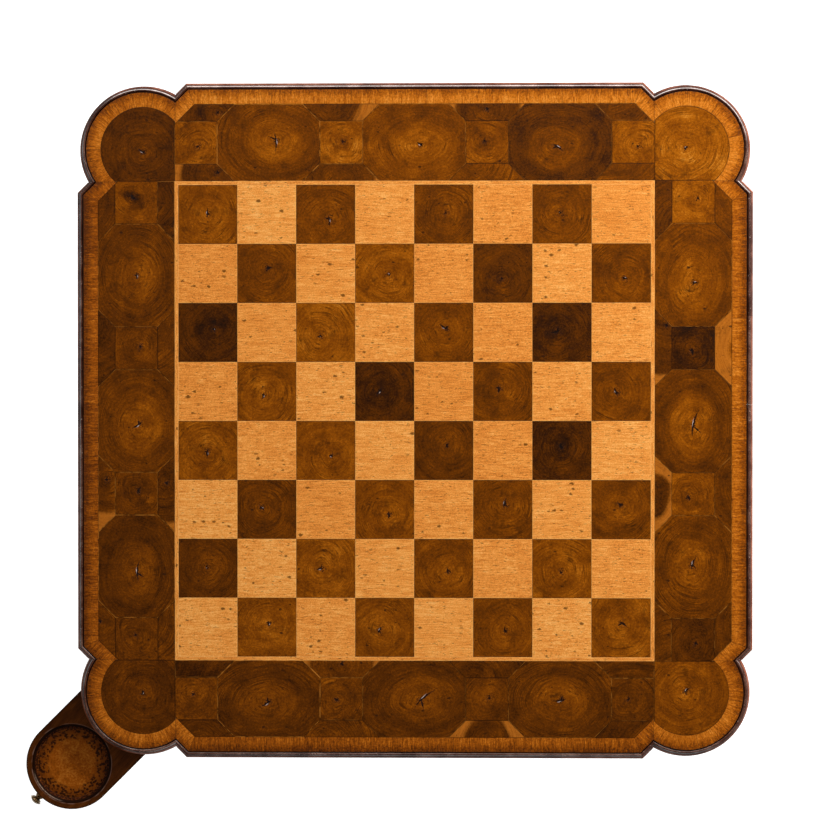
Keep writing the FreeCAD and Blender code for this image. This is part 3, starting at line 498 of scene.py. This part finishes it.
def trim(bench, verts, cuts):
    """Cuts waste off the sheet that has these corners, and gives its faces."""
    faces = list({f for v in verts for f in v.link_faces})
    for point, waste in cuts:
        edges, corners = {e for f in faces for e in f.edges}, {v for f in faces for v in f.verts}
        made = bmesh.ops.bisect_plane(
            bench, geom=[*faces, *edges, *corners], dist=1e-7, plane_co=(*point, 0),
            plane_no=(*waste, 0), clear_outer=True)
        faces = [f for f in made["geom"] if isinstance(f, bmesh.types.BMFace)]
    return faces


def lay(bench, faces, marks, quarter=0, spread=None):
    """Eases a sheet's edges, gives it its marks and turns it to its side of the table."""
    made = bmesh.ops.inset_region(
        bench, faces=faces, thickness=JOINT, depth=WORN, use_even_offset=True, use_boundary=True)
    rim = bench.verts.layers.float["rim"]
    for face in faces:
        for vert in face.verts:
            vert[rim] = 1
    whole = faces + made["faces"]
    for face in whole:
        for mark, value in marks.items():
            face[bench.faces.layers.float_vector[mark]] = value
        if spread:
            for loop in face.loops:
                loop[bench.loops.layers.uv.active].uv = spread(loop.vert.co)
    bmesh.ops.rotate(
        bench, verts=list({v for f in whole for v in f.verts}), cent=(0, 0, 0),
        matrix=Matrix.Rotation(quarter * math.pi / 2, 3, "Z"))


def press(bench, name, finish, slot, *nodes):
    """Gives the sheets their thickness and puts them on the table."""
    made = bmesh.ops.extrude_face_region(bench, geom=bench.faces[:])
    under = [v for v in made["geom"] if isinstance(v, bmesh.types.BMVert)]
    for vert in under:
        vert.co.z = -VENEER
    bmesh.ops.recalc_face_normals(bench, faces=bench.faces[:])
    mesh = bpy.data.meshes.new(name)
    bench.to_mesh(mesh)
    bench.free()
    mesh.materials.append(finish.material)
    piece = bpy.data.objects.new(name, mesh)
    bpy.context.scene.collection.objects.link(piece)
    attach(piece, "table")
    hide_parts(*nodes)


NO_SAPWOOD = 400


def slice_marks(
        luck, pith, tone, stretch=1.0, angle=0.0, sap=NO_SAPWOOD, crack=4.0, light_edge=0.0,
        heart=(14, 0.06), gleam=0.0, quarter=0):
    """What one slice shows: where its pith lies, its tone from dark at nought to pale at one, and its
    heart, sapwood and crack, in millimetres."""
    pith = Matrix.Rotation(quarter * math.pi / 2, 2) @ Vector(pith)
    return {
        "pith": (pith.x * 1000, pith.y * 1000, luck.random()),
        "cut": (math.sqrt(stretch), angle + quarter * math.pi / 2, tone),
        "age": (sap, crack, light_edge),
        "heart": (*heart, gleam)}


CHOSEN_TONE = {
    (3, 1): 0.26, (3, 7): 0.26, (4, 4): 0.27, (5, 7): 0.26,
    (2, 6): 0.36, (5, 5): 0.45, (7, 1): 0.44, (6, 2): 0.44}
luck = random.Random(11)
dark = veneer_bench("pith", "cut", "age", "heart")
for row in range(1, 9):
    for column in range(1, 9):
        if (row + column) % 2:
            continue
        x, y = (column - 4.5) * SQUARE, (4.5 - row) * SQUARE
        faces = sheet(dark, (x - SQUARE / 2, y - SQUARE / 2), (x + SQUARE / 2, y + SQUARE / 2))
        pith = (x + luck.uniform(-0.007, 0.007), y + luck.uniform(-0.007, 0.007))
        tone = CHOSEN_TONE.get((row, column), luck.uniform(0.48, 0.65))
        lay(dark, faces, slice_marks(
            luck, pith, tone, luck.uniform(1, 1.12), luck.uniform(0, 3),
            crack=luck.choice((1.2, 1.8, 2.5, 3.5, 4.5, 6)),
            heart=(luck.uniform(14, 24), luck.uniform(-0.04, 0.1) if tone > 0.4 else -0.08),
            gleam=luck.choice((0, 0, 0.6, 1))))
press(dark, "dark_square_veneers", oyster, "oyster_veneer", "dark_squares")


# Light squares and the stringing round the board: straight-grained pale wood gone honey coloured
# under the polish, with short dark pores along the grain, small stains and scratches.
def light_finish():
    finish = Finish("honey_veneer")
    place = finish.place()
    angle, tone, seed = finish.parts(finish.mark("grain"))
    rim = finish.mark("rim", "Fac")
    shift = finish.point(seed * 300, seed * 500, seed * 100)
    local = finish.vector("ADD", finish.turned(place, -angle), shift)
    along = finish.wobble(local, 0.04, 1.2)
    grain = finish.noise(finish.vector("MULTIPLY", along, (0.05, 0.8, 1)), 1, 3, 0.8)
    dust = finish.noise(local, 0.75, 3, 0.8)
    broad = finish.noise(finish.vector("MULTIPLY", along, (0.012, 0.12, 1)), 1, 2)
    pores = finish.noise(finish.vector("MULTIPLY", along, (0.16, 0.8, 1)), 1, 2, 0.6).step(0.6, 0.7)
    mark = finish.noise(local, 0.25, 5, 0.75).step(0.64, 0.7)
    cloud = finish.noise(local, 0.05, 4, 0.6)
    stir = finish.wobble(finish.vector("MULTIPLY", local, (0.8, 1.3, 1)), 0.5, 1.9, 3)
    gap, lot, size = finish.scattered(stir, 0.13)
    stain = (size * size * 0.3 + 0.04 - gap).step(0, 0.11) * lot.step(0.3, 0.5)
    stir = finish.vector("MULTIPLY", finish.wobble(local, 0.12, 1.5), (0.1, 0.42, 1))
    gap, lot, _ = finish.scattered(stir, 1)
    slits = gap.step(0.2, 0.1) * lot.step(0.6, 0.75)
    level = (tone + (grain - 0.5) * 1.1 + (broad - 0.5) * 0.16 + (cloud - 0.5) * 0.26
             + (dust - 0.5) * 1.1)
    colour = finish.ramp(
        level, (0.1, paint("AC601A")), (0.4, paint("E08634")), (0.6, paint("F2A048")),
        (0.9, paint("FFC678")))
    colour = finish.blend(pores * 0.6 + mark * 0.45, colour, paint("7A420C"))
    colour = finish.blend(slits * 0.85, colour, paint("5E3006"))
    colour = finish.blend(stain * 0.85, colour, paint("60380A"))
    joint = (1 - rim).kept()
    colour = finish.blend(joint * 0.5, colour, paint("F2B468"))
    return finish.surface(
        colour, 0.3 + cloud * 0.16, grain * 0.2 - pores - slits - stain * 0.4, 0.00008,
        Specular_IOR_Level=0.15)


honey = light_finish()
luck = random.Random(23)
light = veneer_bench("grain")
for row in range(1, 9):
    for column in range(1, 9):
        if (row + column) % 2 == 0:
            continue
        x, y = (column - 4.5) * SQUARE, (4.5 - row) * SQUARE
        faces = sheet(light, (x - SQUARE / 2, y - SQUARE / 2), (x + SQUARE / 2, y + SQUARE / 2))
        marks = {"grain": (luck.uniform(-0.02, 0.02), luck.uniform(0.43, 0.57), luck.random())}
        lay(light, faces, marks)
press(light, "light_square_veneers", honey, "light_veneer", "light_squares")

STRING_WIDE, BOARD = 0.0043, 4 * SQUARE
SEAM = BOARD + STRING_WIDE
stringing = veneer_bench("grain")
for quarter in range(4):
    mitres = [((BOARD, BOARD), (1, -1)), ((-BOARD, BOARD), (-1, -1))]
    faces = sheet(stringing, (-SEAM, BOARD), (SEAM, SEAM), mitres)
    lay(stringing, faces, {"grain": (quarter * math.pi / 2, 0.5, luck.random())}, quarter)
press(stringing, "board_string", honey, "light_veneer", "board_stringing")


# Border: on each side squares and octagons of the same slices, with dark wedges between them, and a
# round slice on each lobe. Cut with a fine saw to meet without stringing, and glued like the board.
NOSE, JOG, LOBE_R, BAND_INSET, SMALL = 0.3829, 0.259, 0.0729, 0.0249, 0.0482
BAND_OUT, LOBE_IN = NOSE - BAND_INSET, LOBE_R - BAND_INSET
RETURN_IN = NOSE + JOG - BAND_INSET * math.sqrt(2)
CHAMFER = (BAND_OUT - SEAM - SMALL) / 2
OCTAGON = (2 * SEAM - 4 * SMALL) / 3

# Tones run from dark at nought to pale at one. The sides come in the order +Y, -X, -Y and +X, and the
# pieces of a side are numbered clockwise. A wedge with sapwood has how far over and outward its pith
# lies and the radius of its heartwood, in millimetres.
LOBE_TONE = (0.72, 0.39, 0.42, 0.6)
OCTAGON_TONE = ((0.55, 0.6, 0.42), (0.46, 0.53, 0.5), (0.48, 0.47, 0.46), (0.56, 0.53, 0.53))
SQUARE_TONE = (
    (0.58, 0.62, 0.52, 0.64), (0.46, 0.42, 0.48, 0.38),
    (0.42, 0.5, 0.48, 0.5), (0.64, 0.3, 0.54, 0.34))
INNER_TONE = (
    (0.38, 0.42, 0.5, 0.48), (0.42, 0.34, 0.42, 0.3),
    (0.38, 0.35, 0.48, 0.33), (0.36, 0.38, 0.4, 0.42))
OUTER_TONE = (
    (0.35, 0.37, 0.37, 0.43), (0.44, 0.42, 0.33, 0.38),
    (0.38, 0.38, 0.42, 0.36), (0.45, 0.6, 0.42, 0.37))
SAPPY_INNER = {
    (0, 0): (25, 0, 41), (0, 1): (-5, -12, 44), (1, 1): (12, 0, 46), (2, 2): (0, -6, 36),
    (3, 1): (-25, 4, 56), (3, 2): (0, -20, 28)}
SAPPY_OUTER = {
    (0, 0): (25, 0, 46), (0, 1): (-10, 14, 33), (0, 2): (0, 4, 36), (1, 0): (20, 8, 44),
    (1, 1): (16, 0, 38), (2, 1): (0, 12, 27), (3, 1): (0, 42, 34)}
luck = random.Random(37)
octagons, squares, wedges, lobes = (veneer_bench("pith", "cut", "age", "heart") for _ in range(4))
corner_cuts = [((RETURN_IN / 2, RETURN_IN / 2), (1, 1)), ((-RETURN_IN / 2, RETURN_IN / 2), (-1, 1))]
low_in, height, high_in = SEAM + CHAMFER, (SEAM + BAND_OUT) / 2, BAND_OUT - CHAMFER
for quarter in range(4):
    for number in range(4):
        left = -SEAM + number * (SMALL + OCTAGON)
        right, middle = left + SMALL, left + SMALL / 2
        faces = sheet(squares, (left, low_in), (right, high_in), corner_cuts)
        pith = (middle + luck.uniform(-0.006, 0.006), height + luck.uniform(-0.005, 0.005))
        dark_heart = (quarter, number) == (1, 3)
        lay(squares, faces, slice_marks(
            luck, pith, SQUARE_TONE[quarter][number], luck.uniform(1, 1.3), luck.uniform(0, 1),
            crack=luck.choice((1.6, 2.4, 3, 4)), light_edge=luck.choice((0, 0, 0.4)),
            heart=(9, -0.34) if dark_heart else (luck.uniform(8, 14), luck.uniform(-0.12, 0.12)),
            quarter=quarter), quarter)
        for edge, far, up, tones, sappy, corners in (
                (low_in, SEAM, 1, INNER_TONE, SAPPY_INNER, []),
                (high_in, BAND_OUT, -1, OUTER_TONE, SAPPY_OUTER, corner_cuts)):
            cuts = [((left, edge), (-1, up)), ((right, edge), (1, up)), *corners]
            faces = sheet(wedges, (max(left - CHAMFER, -SEAM), min(edge, far)),
                          (min(right + CHAMFER, SEAM), max(edge, far)), cuts)
            over, outward, sap = sappy.get(
                (quarter, number), (luck.uniform(-50, 50), luck.uniform(15, 60), NO_SAPWOOD))
            pith = (middle + over / 1000, (edge + far) / 2 + outward / 1000)
            lay(wedges, faces, slice_marks(
                luck, pith, tones[quarter][number], sap=sap, crack=2,
                light_edge=luck.choice((0, 0, 0.5)), heart=(12, 0), quarter=quarter), quarter)
        if number < 3:
            left, right = right, right + OCTAGON
            middle = (left + right) / 2
            cuts = [((left, low_in), (-1, -1)), ((left, high_in), (-1, 1)),
                    ((right, low_in), (1, -1)), ((right, high_in), (1, 1))]
            faces = sheet(octagons, (left, SEAM), (right, BAND_OUT), cuts)
            pith = (middle + luck.uniform(-0.009, 0.009), height + luck.uniform(-0.005, 0.005))
            lay(octagons, faces, slice_marks(
                luck, pith, OCTAGON_TONE[quarter][number],
                luck.uniform(1.25, 1.5), luck.uniform(-0.08, 0.08),
                sap=luck.choice((66, 72, 80, 90)), crack=luck.choice((4, 7, 10, 14)),
                light_edge=luck.choice((0.3, 0.6, 1)),
                heart=(luck.uniform(24, 32), luck.uniform(0.11, 0.19)), gleam=1,
                quarter=quarter), quarter)
    ways = [(math.cos(math.radians(bearing)), math.sin(math.radians(bearing)))
            for bearing in range(-48, 140, 3)]
    far = LOBE_AT + LOBE_IN + 0.001
    faces = sheet(lobes, (SEAM, SEAM), (far, far), [
        ((LOBE_AT + LOBE_IN * x, LOBE_AT + LOBE_IN * y), (x, y)) for x, y in ways])
    pith = (LOBE_AT + luck.uniform(-0.006, 0.006), LOBE_AT + luck.uniform(-0.006, 0.006))
    lay(lobes, faces, slice_marks(
        luck, pith, LOBE_TONE[quarter], luck.uniform(1, 1.12), luck.uniform(0, 3),
        crack=luck.choice((3, 5)), gleam=1, quarter=quarter), quarter)
press(octagons, "octagon_veneers", oyster, "oyster_veneer", "oyster_octagons")
press(squares, "small_square_veneers", oyster, "oyster_veneer", "oyster_squares")
press(wedges, "wedge_veneers", oyster, "oyster_veneer", "oyster_wedges")
press(lobes, "lobe_veneers", oyster, "oyster_veneer", "oyster_lobes")


# Crossbanding: short leaves of straight-grained wood laid with the grain square to the edge, round
# the sides, the returns beside the lobes and the lobes themselves, mitred where they turn.
def crossband_finish():
    finish = Finish("crossband_walnut")
    along, across, _ = finish.parts(finish.node("ShaderNodeUVMap", {}, {}))
    tone, seed, darkening = finish.parts(finish.mark("leaf"))
    rim = finish.mark("rim", "Fac")
    place = finish.place()
    flow = finish.wobble(finish.point(along * 1000 + seed * 700, across * 1000, seed * 30), 0.12, 0.8)
    grain = finish.noise(finish.vector("MULTIPLY", flow, (0.8, 0.06, 1)), 1, 3, 0.8)
    dashes = finish.noise(finish.vector("MULTIPLY", flow, (0.6, 0.2, 1)), 1, 3, 0.7).step(0.54, 0.68)
    broad = finish.noise(finish.vector("MULTIPLY", flow, (0.07, 0.02, 1)), 1, 2)
    cloud = finish.noise(place, 0.06, 4)
    outward = (across * 1000 + (cloud - 0.5) * 10).step(5, 17)
    dust = finish.noise(place, 0.42, 4, 0.85)
    level = (tone + grain - 0.5 + (broad - 0.5) * 0.3 + (cloud - 0.5) * 0.16 + (dust - 0.5) * 0.9
             - outward * 0.2)
    colour = finish.ramp(
        level, (0.1, paint("522400")), (0.35, paint("944A02")), (0.55, paint("C87014")),
        (0.85, paint("F0A244")))
    colour = finish.blend(dashes * (0.35 + outward * 0.35), colour, paint("3E1C02"))
    speck = finish.noise(place, 0.4, 4, 0.75).step(0.53, 0.62) * (outward * 0.9 + 0.1) * darkening
    colour = finish.blend(speck * 0.9, colour, paint("150800"))
    joint = (1 - rim).kept()
    colour = finish.blend(joint * 0.6, colour, paint("3A1C06"))
    return finish.surface(
        colour, 0.32 + cloud * 0.16, grain * 0.3 - dashes - speck, 0.00008, Specular_IOR_Level=0.2)


MOULDING_IN, MITRE = 0.0084, 0.2704
CROSS_OUT, LOBE_OUT = NOSE - MOULDING_IN, LOBE_R - MOULDING_IN
RETURN_OUT = NOSE + JOG - MOULDING_IN * math.sqrt(2)
SIDE_TONE = (0.53, 0.32, 0.33, 0.47)
LOBE_BAND_TONE = (0.5, 0.46, 0.42, 0.46)
banding = crossband_finish()
luck = random.Random(41)
bands = veneer_bench("leaf")
turn_in, turn_out = RETURN_IN - BAND_OUT, RETURN_OUT - CROSS_OUT
mitre_x, mitre_y = CROSS_OUT - BAND_OUT, turn_in - turn_out
for quarter in range(4):
    end = turn_out + 0.01
    stops = [-end]
    while stops[-1] < end:
        stops.append(stops[-1] + luck.uniform(0.07, 0.16))
    stops[-1] = end
    if stops[-1] - stops[-2] < 0.03:
        del stops[-2]
    mitres = [((turn_in, BAND_OUT), (mitre_x, mitre_y)), ((-turn_in, BAND_OUT), (-mitre_x, mitre_y))]
    for low, high in zip(stops, stops[1:]):
        faces = sheet(bands, (low, BAND_OUT), (high, CROSS_OUT), mitres)
        marks = {"leaf": (SIDE_TONE[quarter] + luck.uniform(-0.05, 0.05), luck.random(), 0.7)}
        lay(bands, faces, marks, quarter, lambda co: (co.x, co.y - BAND_OUT))
    for side in (1, -1):
        faces = sheet(bands, (side * 0.25 - 0.05, 0.3), (side * 0.25 + 0.05, 0.4), [
            ((side * RETURN_IN / 2, RETURN_IN / 2), (-side, -1)),
            ((side * RETURN_OUT / 2, RETURN_OUT / 2), (side, 1)),
            ((side * MITRE, 0), (side, 0)), ((side * turn_in, BAND_OUT), (-side * mitre_x, -mitre_y))])
        marks = {"leaf": (SIDE_TONE[quarter] + luck.uniform(-0.02, 0.12), luck.random(), 0.5)}
        lay(bands, faces, marks, quarter, lambda co: (
            (co.x - side * co.y) * math.sqrt(0.5), (abs(co.x) + co.y - RETURN_IN) * math.sqrt(0.5)))
    bearings = [-50]
    while bearings[-1] < 140:
        bearings.append(bearings[-1] + luck.uniform(38, 80))
    bearings[-1] = 140
    for low, high in zip(bearings, bearings[1:]):
        across, up = math.cos(math.radians(low)), math.sin(math.radians(low))
        spoke = [bands.verts.new((LOBE_AT + reach * across, LOBE_AT + reach * up, -WORN))
                 for reach in (LOBE_IN, LOBE_OUT)]
        edge = bands.edges.new(spoke)
        bmesh.ops.spin(
            bands, geom=[*spoke, edge], cent=(LOBE_AT, LOBE_AT, 0), axis=(0, 0, 1),
            angle=math.radians(high - low), steps=max(2, round((high - low) / 2.5)),
            use_merge=False, use_duplicate=False)
        swept, found = set(spoke), None
        while found != swept:
            found = set(swept)
            swept |= {v for spot in found for f in spot.link_faces for v in f.verts}
        faces = trim(bands, swept, [((MITRE, 0), (-1, 0)), ((0, MITRE), (0, -1))])
        if not faces:
            continue
        for face in faces:
            if face.normal.z < 0:
                face.normal_flip()
        marks = {"leaf": (LOBE_BAND_TONE[quarter] + luck.uniform(-0.05, 0.05), luck.random(), 0.8)}
        lay(bands, faces, marks, quarter, lambda co: (
            math.atan2(co.y - LOBE_AT, co.x - LOBE_AT) * LOBE_OUT,
            math.hypot(co.x - LOBE_AT, co.y - LOBE_AT) - LOBE_IN))
press(bands, "crossband_leaves", banding, "crossbanding", "crossbanding")


# Edge moulding: cross-grain walnut glued round the top in short lengths, worked with a lip, a small
# quirked bead, a long rounded nose and a hollow under it. Polished brighter than the top, and chipped.
def moulding_finish(name, inset):
    """inset gives millimetres in from the nose, from the distances to the table's middle lines."""
    finish = Finish(name)
    place = finish.place()
    tone, seed, _ = finish.parts(finish.mark("length"))
    x, y, _ = finish.parts(place)
    inset = inset(finish, abs(x), abs(y)) + (finish.noise(place, 0.3, 3) - 0.5) * 0.5
    patch = finish.noise(place, 0.05, 4, 0.6)
    fibre = finish.noise(finish.vector("MULTIPLY", place, (1, 1, 0.15)), 0.9, 3)
    quirk_shade = inset.step(6.5, 7.0)
    bead = inset.step(2.9, 3.4) * (1 - quirk_shade)
    chips = finish.noise(place, 0.35, 4, 0.7).step(0.6, 0.68) * bead
    level = patch + fibre * 0.3 + tone - 0.65
    nose = finish.ramp(level, (0.3, paint("4A2010")), (0.5, paint("7A4028")), (0.8, paint("A0644A")))
    rounded = finish.ramp(level, (0.3, paint("32180E")), (0.5, paint("523024")), (0.8, paint("7E5C4C")))
    colour = finish.blend(bead, nose, rounded)
    # Painted shade: a dark line where the bead steps down to the nose, and the outermost edge of the nose
    # darkened.
    between = inset.step(2.2, 2.9) * inset.step(4.0, 3.3)
    colour = finish.blend(inset.step(0.8, 0.4) * 0.5 + between * 0.8, colour, paint("2C1610"))
    # Painted shade: the lip and the quirk beside the crossbanding are painted nearly black.
    colour = finish.blend(quirk_shade * 0.96, colour, paint("080302"))
    colour = finish.blend(chips * 0.5, colour, paint("C8B4A8"))
    bright = 0.12 + inset.step(3.4, 4.2) * inset.step(6.0, 5.0) * 0.75
    bright = bright * (0.6 + patch.step(0.4, 0.65) * 0.4) * (1 - chips)
    return finish.surface(
        colour, 0.6, fibre * 0.3 - chips, 0.00008, Coat_Weight=bright, Coat_Roughness=0.22,
        Coat_IOR=3.2, Specular_IOR_Level=0.0)


QUIRK_LIP, QUIRK_DEEP, BEAD_IN, BEAD_LOW, BEAD_R = 0.0004, 0.0009, 0.0032, 0.0019, 0.0026
NOSE_HIGH, NOSE_LOW, FILLET, COVE_IN, COVE_R, THICK = 0.0034, 0.018, 0.0013, 0.0065, 0.005, 0.022
NOSE_R = (((NOSE_LOW - NOSE_HIGH) / 2) ** 2 + BEAD_IN ** 2) / (2 * BEAD_IN)


def drawn(stock, start, inset, depth, reach):
    """A straight line on from the last point of the section."""
    made = bmesh.ops.extrude_vert_indiv(stock, verts=[start])
    made["verts"][0].co = (reach - inset, 0, -depth)
    return made["verts"][0]


def swung(stock, start, inset, depth, reach, radius, steps):
    """An arc on from the last point, swelling outward, or hollow where the radius is negative."""
    run = Vector((reach - inset, 0, -depth)) - start.co
    half = run.length / 2
    outward = run.cross(Vector((0, 1, 0))).normalized()
    middle = start.co + run / 2 - outward * math.copysign(math.sqrt(radius ** 2 - half ** 2), radius)
    made = bmesh.ops.spin(
        stock, geom=[start], cent=middle, axis=(0, 1, 0), angle=2 * math.asin(half / radius),
        steps=steps, use_merge=False, use_duplicate=False)
    return made["geom_last"][0]


def moulding_section(reach):
    """The outline of the moulding's section, across X and Z, from its inner edge outward and down."""
    stock = bmesh.new()
    first = stock.verts.new((reach - MOULDING_IN + QUIRK_LIP, 0, 0))
    last = drawn(stock, first, MOULDING_IN - QUIRK_LIP - QUIRK_DEEP, QUIRK_DEEP, reach)
    last = swung(stock, last, BEAD_IN, BEAD_LOW, reach, BEAD_R, 12)
    last = drawn(stock, last, BEAD_IN, NOSE_HIGH, reach)
    last = swung(stock, last, BEAD_IN, NOSE_LOW, reach, NOSE_R, 16)
    last = drawn(stock, last, BEAD_IN + FILLET, NOSE_LOW, reach)
    last = swung(stock, last, COVE_IN, THICK, reach, -COVE_R, 6)
    last = drawn(stock, last, MOULDING_IN, THICK, reach)
    last = drawn(stock, last, MOULDING_IN, 0, reach)
    stock.edges.new((last, first))
    return stock


def straight_length(reach, low, high):
    """A length that runs along Y."""
    stock = moulding_section(reach)
    bmesh.ops.translate(stock, verts=stock.verts[:], vec=(0, low, 0))
    made = bmesh.ops.extrude_edge_only(stock, edges=stock.edges[:])
    far = [v for v in made["geom"] if isinstance(v, bmesh.types.BMVert)]
    bmesh.ops.translate(stock, verts=far, vec=(0, high - low, 0))
    return stock


def round_length(low, high):
    """A length round a lobe, between two bearings in degrees."""
    stock = moulding_section(LOBE_R)
    bmesh.ops.rotate(
        stock, verts=stock.verts[:], cent=(0, 0, 0), matrix=Matrix.Rotation(math.radians(low), 3, "Z"))
    bmesh.ops.spin(
        stock, geom=stock.verts[:] + stock.edges[:], cent=(0, 0, 0), axis=(0, 0, 1),
        angle=math.radians(high - low), steps=round((high - low) / 2),
        use_merge=False, use_duplicate=False)
    bmesh.ops.translate(stock, verts=stock.verts[:], vec=(LOBE_AT, LOBE_AT, 0))
    return stock


def sawn(stock, *cuts):
    """Saws the ends of a length off. A cut is a point on it and the way to the waste."""
    for point, waste in cuts:
        bmesh.ops.bisect_plane(
            stock, geom=stock.verts[:] + stock.edges[:] + stock.faces[:], dist=1e-7,
            plane_co=(*point, 0), plane_no=(*waste, 0), clear_outer=True)


def glued(lengths, stock, turn, tone):
    """Closes a finished length and adds it to the others of its kind."""
    bmesh.ops.holes_fill(stock, edges=[e for e in stock.edges if e.is_boundary], sides=0)
    bmesh.ops.recalc_face_normals(stock, faces=stock.faces[:])
    stock.transform(Matrix.Rotation(turn, 4, "Z"))
    layer = stock.faces.layers.float_vector.new("length")
    for face in stock.faces:
        face.smooth = True
        face[layer] = (tone, 0, 0)
    for edge in stock.edges:
        edge.smooth = edge.calc_face_angle(0) < 0.5
    spare = bpy.data.meshes.new("spare")
    stock.to_mesh(spare)
    stock.free()
    lengths.from_mesh(spare)
    bpy.data.meshes.remove(spare)


HAIR, LAP = 0.00004, 0.01
slope = MOULDING_IN * (math.sqrt(2) - 1)
luck = random.Random(53)
mould_sides, mould_returns, mould_lobes = (bmesh.new() for _ in range(3))
for lengths in (mould_sides, mould_returns, mould_lobes):
    lengths.faces.layers.float_vector.new("length")
for quarter in range(4):
    turn = quarter * math.pi / 2
    stops = [-JOG - LAP]
    while stops[-1] < JOG - 0.06:
        stops.append(stops[-1] + luck.uniform(0.05, 0.12))
    stops[-1] = JOG + LAP
    for low, high in zip(stops, stops[1:]):
        stock = straight_length(NOSE, low + HAIR, high - HAIR)
        sawn(stock, ((NOSE, JOG), (-slope, MOULDING_IN)), ((NOSE, -JOG), (-slope, -MOULDING_IN)))
        glued(mould_sides, stock, turn, luck.uniform(0.4, 0.6))
    for near in (-1, 1):
        stock = straight_length((NOSE + JOG) * math.sqrt(0.5), near * 0.08 - 0.04, near * 0.08 + 0.04)
        stock.transform(Matrix.Rotation(math.pi / 4, 4, "Z"))
        if near < 0:
            sawn(stock, ((NOSE, JOG), (slope, -MOULDING_IN)), ((0, MITRE), (0, 1)))
        else:
            sawn(stock, ((JOG, NOSE), (-MOULDING_IN, slope)), ((MITRE, 0), (1, 0)))
        glued(mould_returns, stock, turn, luck.uniform(0.45, 0.6))
    bearings = [-36]
    while bearings[-1] < 100:
        bearings.append(bearings[-1] + luck.randrange(36, 64, 2))
    bearings[-1] = 126
    for low, high in zip(bearings, bearings[1:]):
        stock = round_length(low + 0.03, high - 0.03)
        sawn(stock, ((MITRE, 0), (-1, 0)), ((0, MITRE), (0, -1)))
        glued(mould_lobes, stock, turn, luck.uniform(0.4, 0.6))
for lengths, name, inset in (
        (mould_sides, "sides", lambda finish, x, y: NOSE * 1000 - x.sum("MAXIMUM", x, y)),
        (mould_returns, "returns", lambda finish, x, y: ((NOSE + JOG) * 1000 - x - y) * math.sqrt(0.5)),
        (mould_lobes, "lobes", lambda finish, x, y: LOBE_R * 1000 - finish.vector(
            "LENGTH", finish.point(x - LOBE_AT * 1000, y - LOBE_AT * 1000, 0)))):
    mesh = bpy.data.meshes.new("moulding_lengths_" + name)
    lengths.to_mesh(mesh)
    lengths.free()
    mesh.materials.append(moulding_finish("moulding_walnut_" + name, inset).material)
    piece = bpy.data.objects.new("moulding_lengths_" + name, mesh)
    bpy.context.scene.collection.objects.link(piece)
    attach(piece, "table")
    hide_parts("edge_moulding_" + name)


# The room: a plain pale floor at the feet, which takes the table's shadow, a dim surround with one
# window that only polished pieces mirror, lamps to the sides and a camera above the board.
FLOOR = -0.762
floor_stock = bmesh.new()
bmesh.ops.create_grid(
    floor_stock, x_segments=1, y_segments=1, size=6, matrix=Matrix.Translation((0, 0, FLOOR)))
floor_mesh = bpy.data.meshes.new("floor")
floor_stock.to_mesh(floor_mesh)
floor_stock.free()
floor = bpy.data.objects.new("floor", floor_mesh)
bpy.context.scene.collection.objects.link(floor)


def rays(finish, *kinds):
    """One for light paths of these kinds and nought for the others."""
    shares = [finish.node("ShaderNodeLightPath", {}, {}, kind) for kind in kinds]
    return sum(shares[1:], shares[0]).kept()


pale = Finish("pale_floor")
seen = rays(pale, "Is Camera Ray", "Is Glossy Ray", "Is Transmission Ray")
lift = pale.blend(seen, (0, 0, 0, 1), (1, 1, 1, 1))
pale.surface(paint("F1F1EF"), 0.9, Emission_Color=lift, Emission_Strength=0.62, Specular_IOR_Level=0.0)
floor_mesh.materials.append(pale.material)

room = Finish("studio", bpy.data.worlds)
bpy.context.scene.world = room.material
east, north, up = room.parts(room.node("ShaderNodeTexCoord", {}, {}, "Generated"))
glossy = rays(room, "Is Glossy Ray")
seen = rays(room, "Is Camera Ray", "Is Transmission Ray")
mirrored = room.blend(up.step(0.1, 0.6), (0.075, 0.066, 0.06, 1), (0.01, 0.009, 0.009, 1))
window = (east * 0.3 + north * 0.95 + up * 0.3).step(0.5, 0.8) * up.step(0.98, 0.9) * up.step(0.35, 0.6)
mirrored = room.blend(window, mirrored, (6, 5.4, 5.1, 1))
walls = room.blend(glossy, (0.2, 0.2, 0.2, 1), mirrored)
room.join(room.shader, {"Color": room.blend(seen, walls, (1, 1, 1, 1)), "Strength": 1.0})

for name, at, wide, high, watts in (
        ("lamp_key", (1.85, 1.75, 1.0), 3.4, 1.1, 165),
        ("lamp_left", (-2.9, 0.5, 1.6), 2.2, 2.2, 10),
        ("lamp_front", (0.6, -3.0, 1.6), 2.2, 2.2, 10)):
    lamp = bpy.data.lights.new(name, "AREA")
    lamp.shape, lamp.size, lamp.size_y, lamp.energy = "RECTANGLE", wide, high, watts
    holder = bpy.data.objects.new(name, lamp)
    holder.location = at
    holder.visible_glossy = name != "lamp_key"
    holder.rotation_euler = (Vector((0, 0, -0.1)) - Vector(at)).to_track_quat("-Z", "Y").to_euler()
    bpy.context.scene.collection.objects.link(holder)

camera = bpy.data.cameras.new("camera")
camera.lens, camera.sensor_width = 91.07, 36
viewer = bpy.data.objects.new("camera", camera)
viewer.location = (0.0506, 0.0221, 2.4)
look = Vector((0.0066, 0.0011, 0)) - viewer.location
viewer.rotation_euler = (math.atan2(look.y, -look.z), math.atan2(-look.x, -look.z), 0)
bpy.context.scene.collection.objects.link(viewer)
bpy.context.scene.camera = viewer
bpy.context.scene.view_settings.view_transform = "Standard"
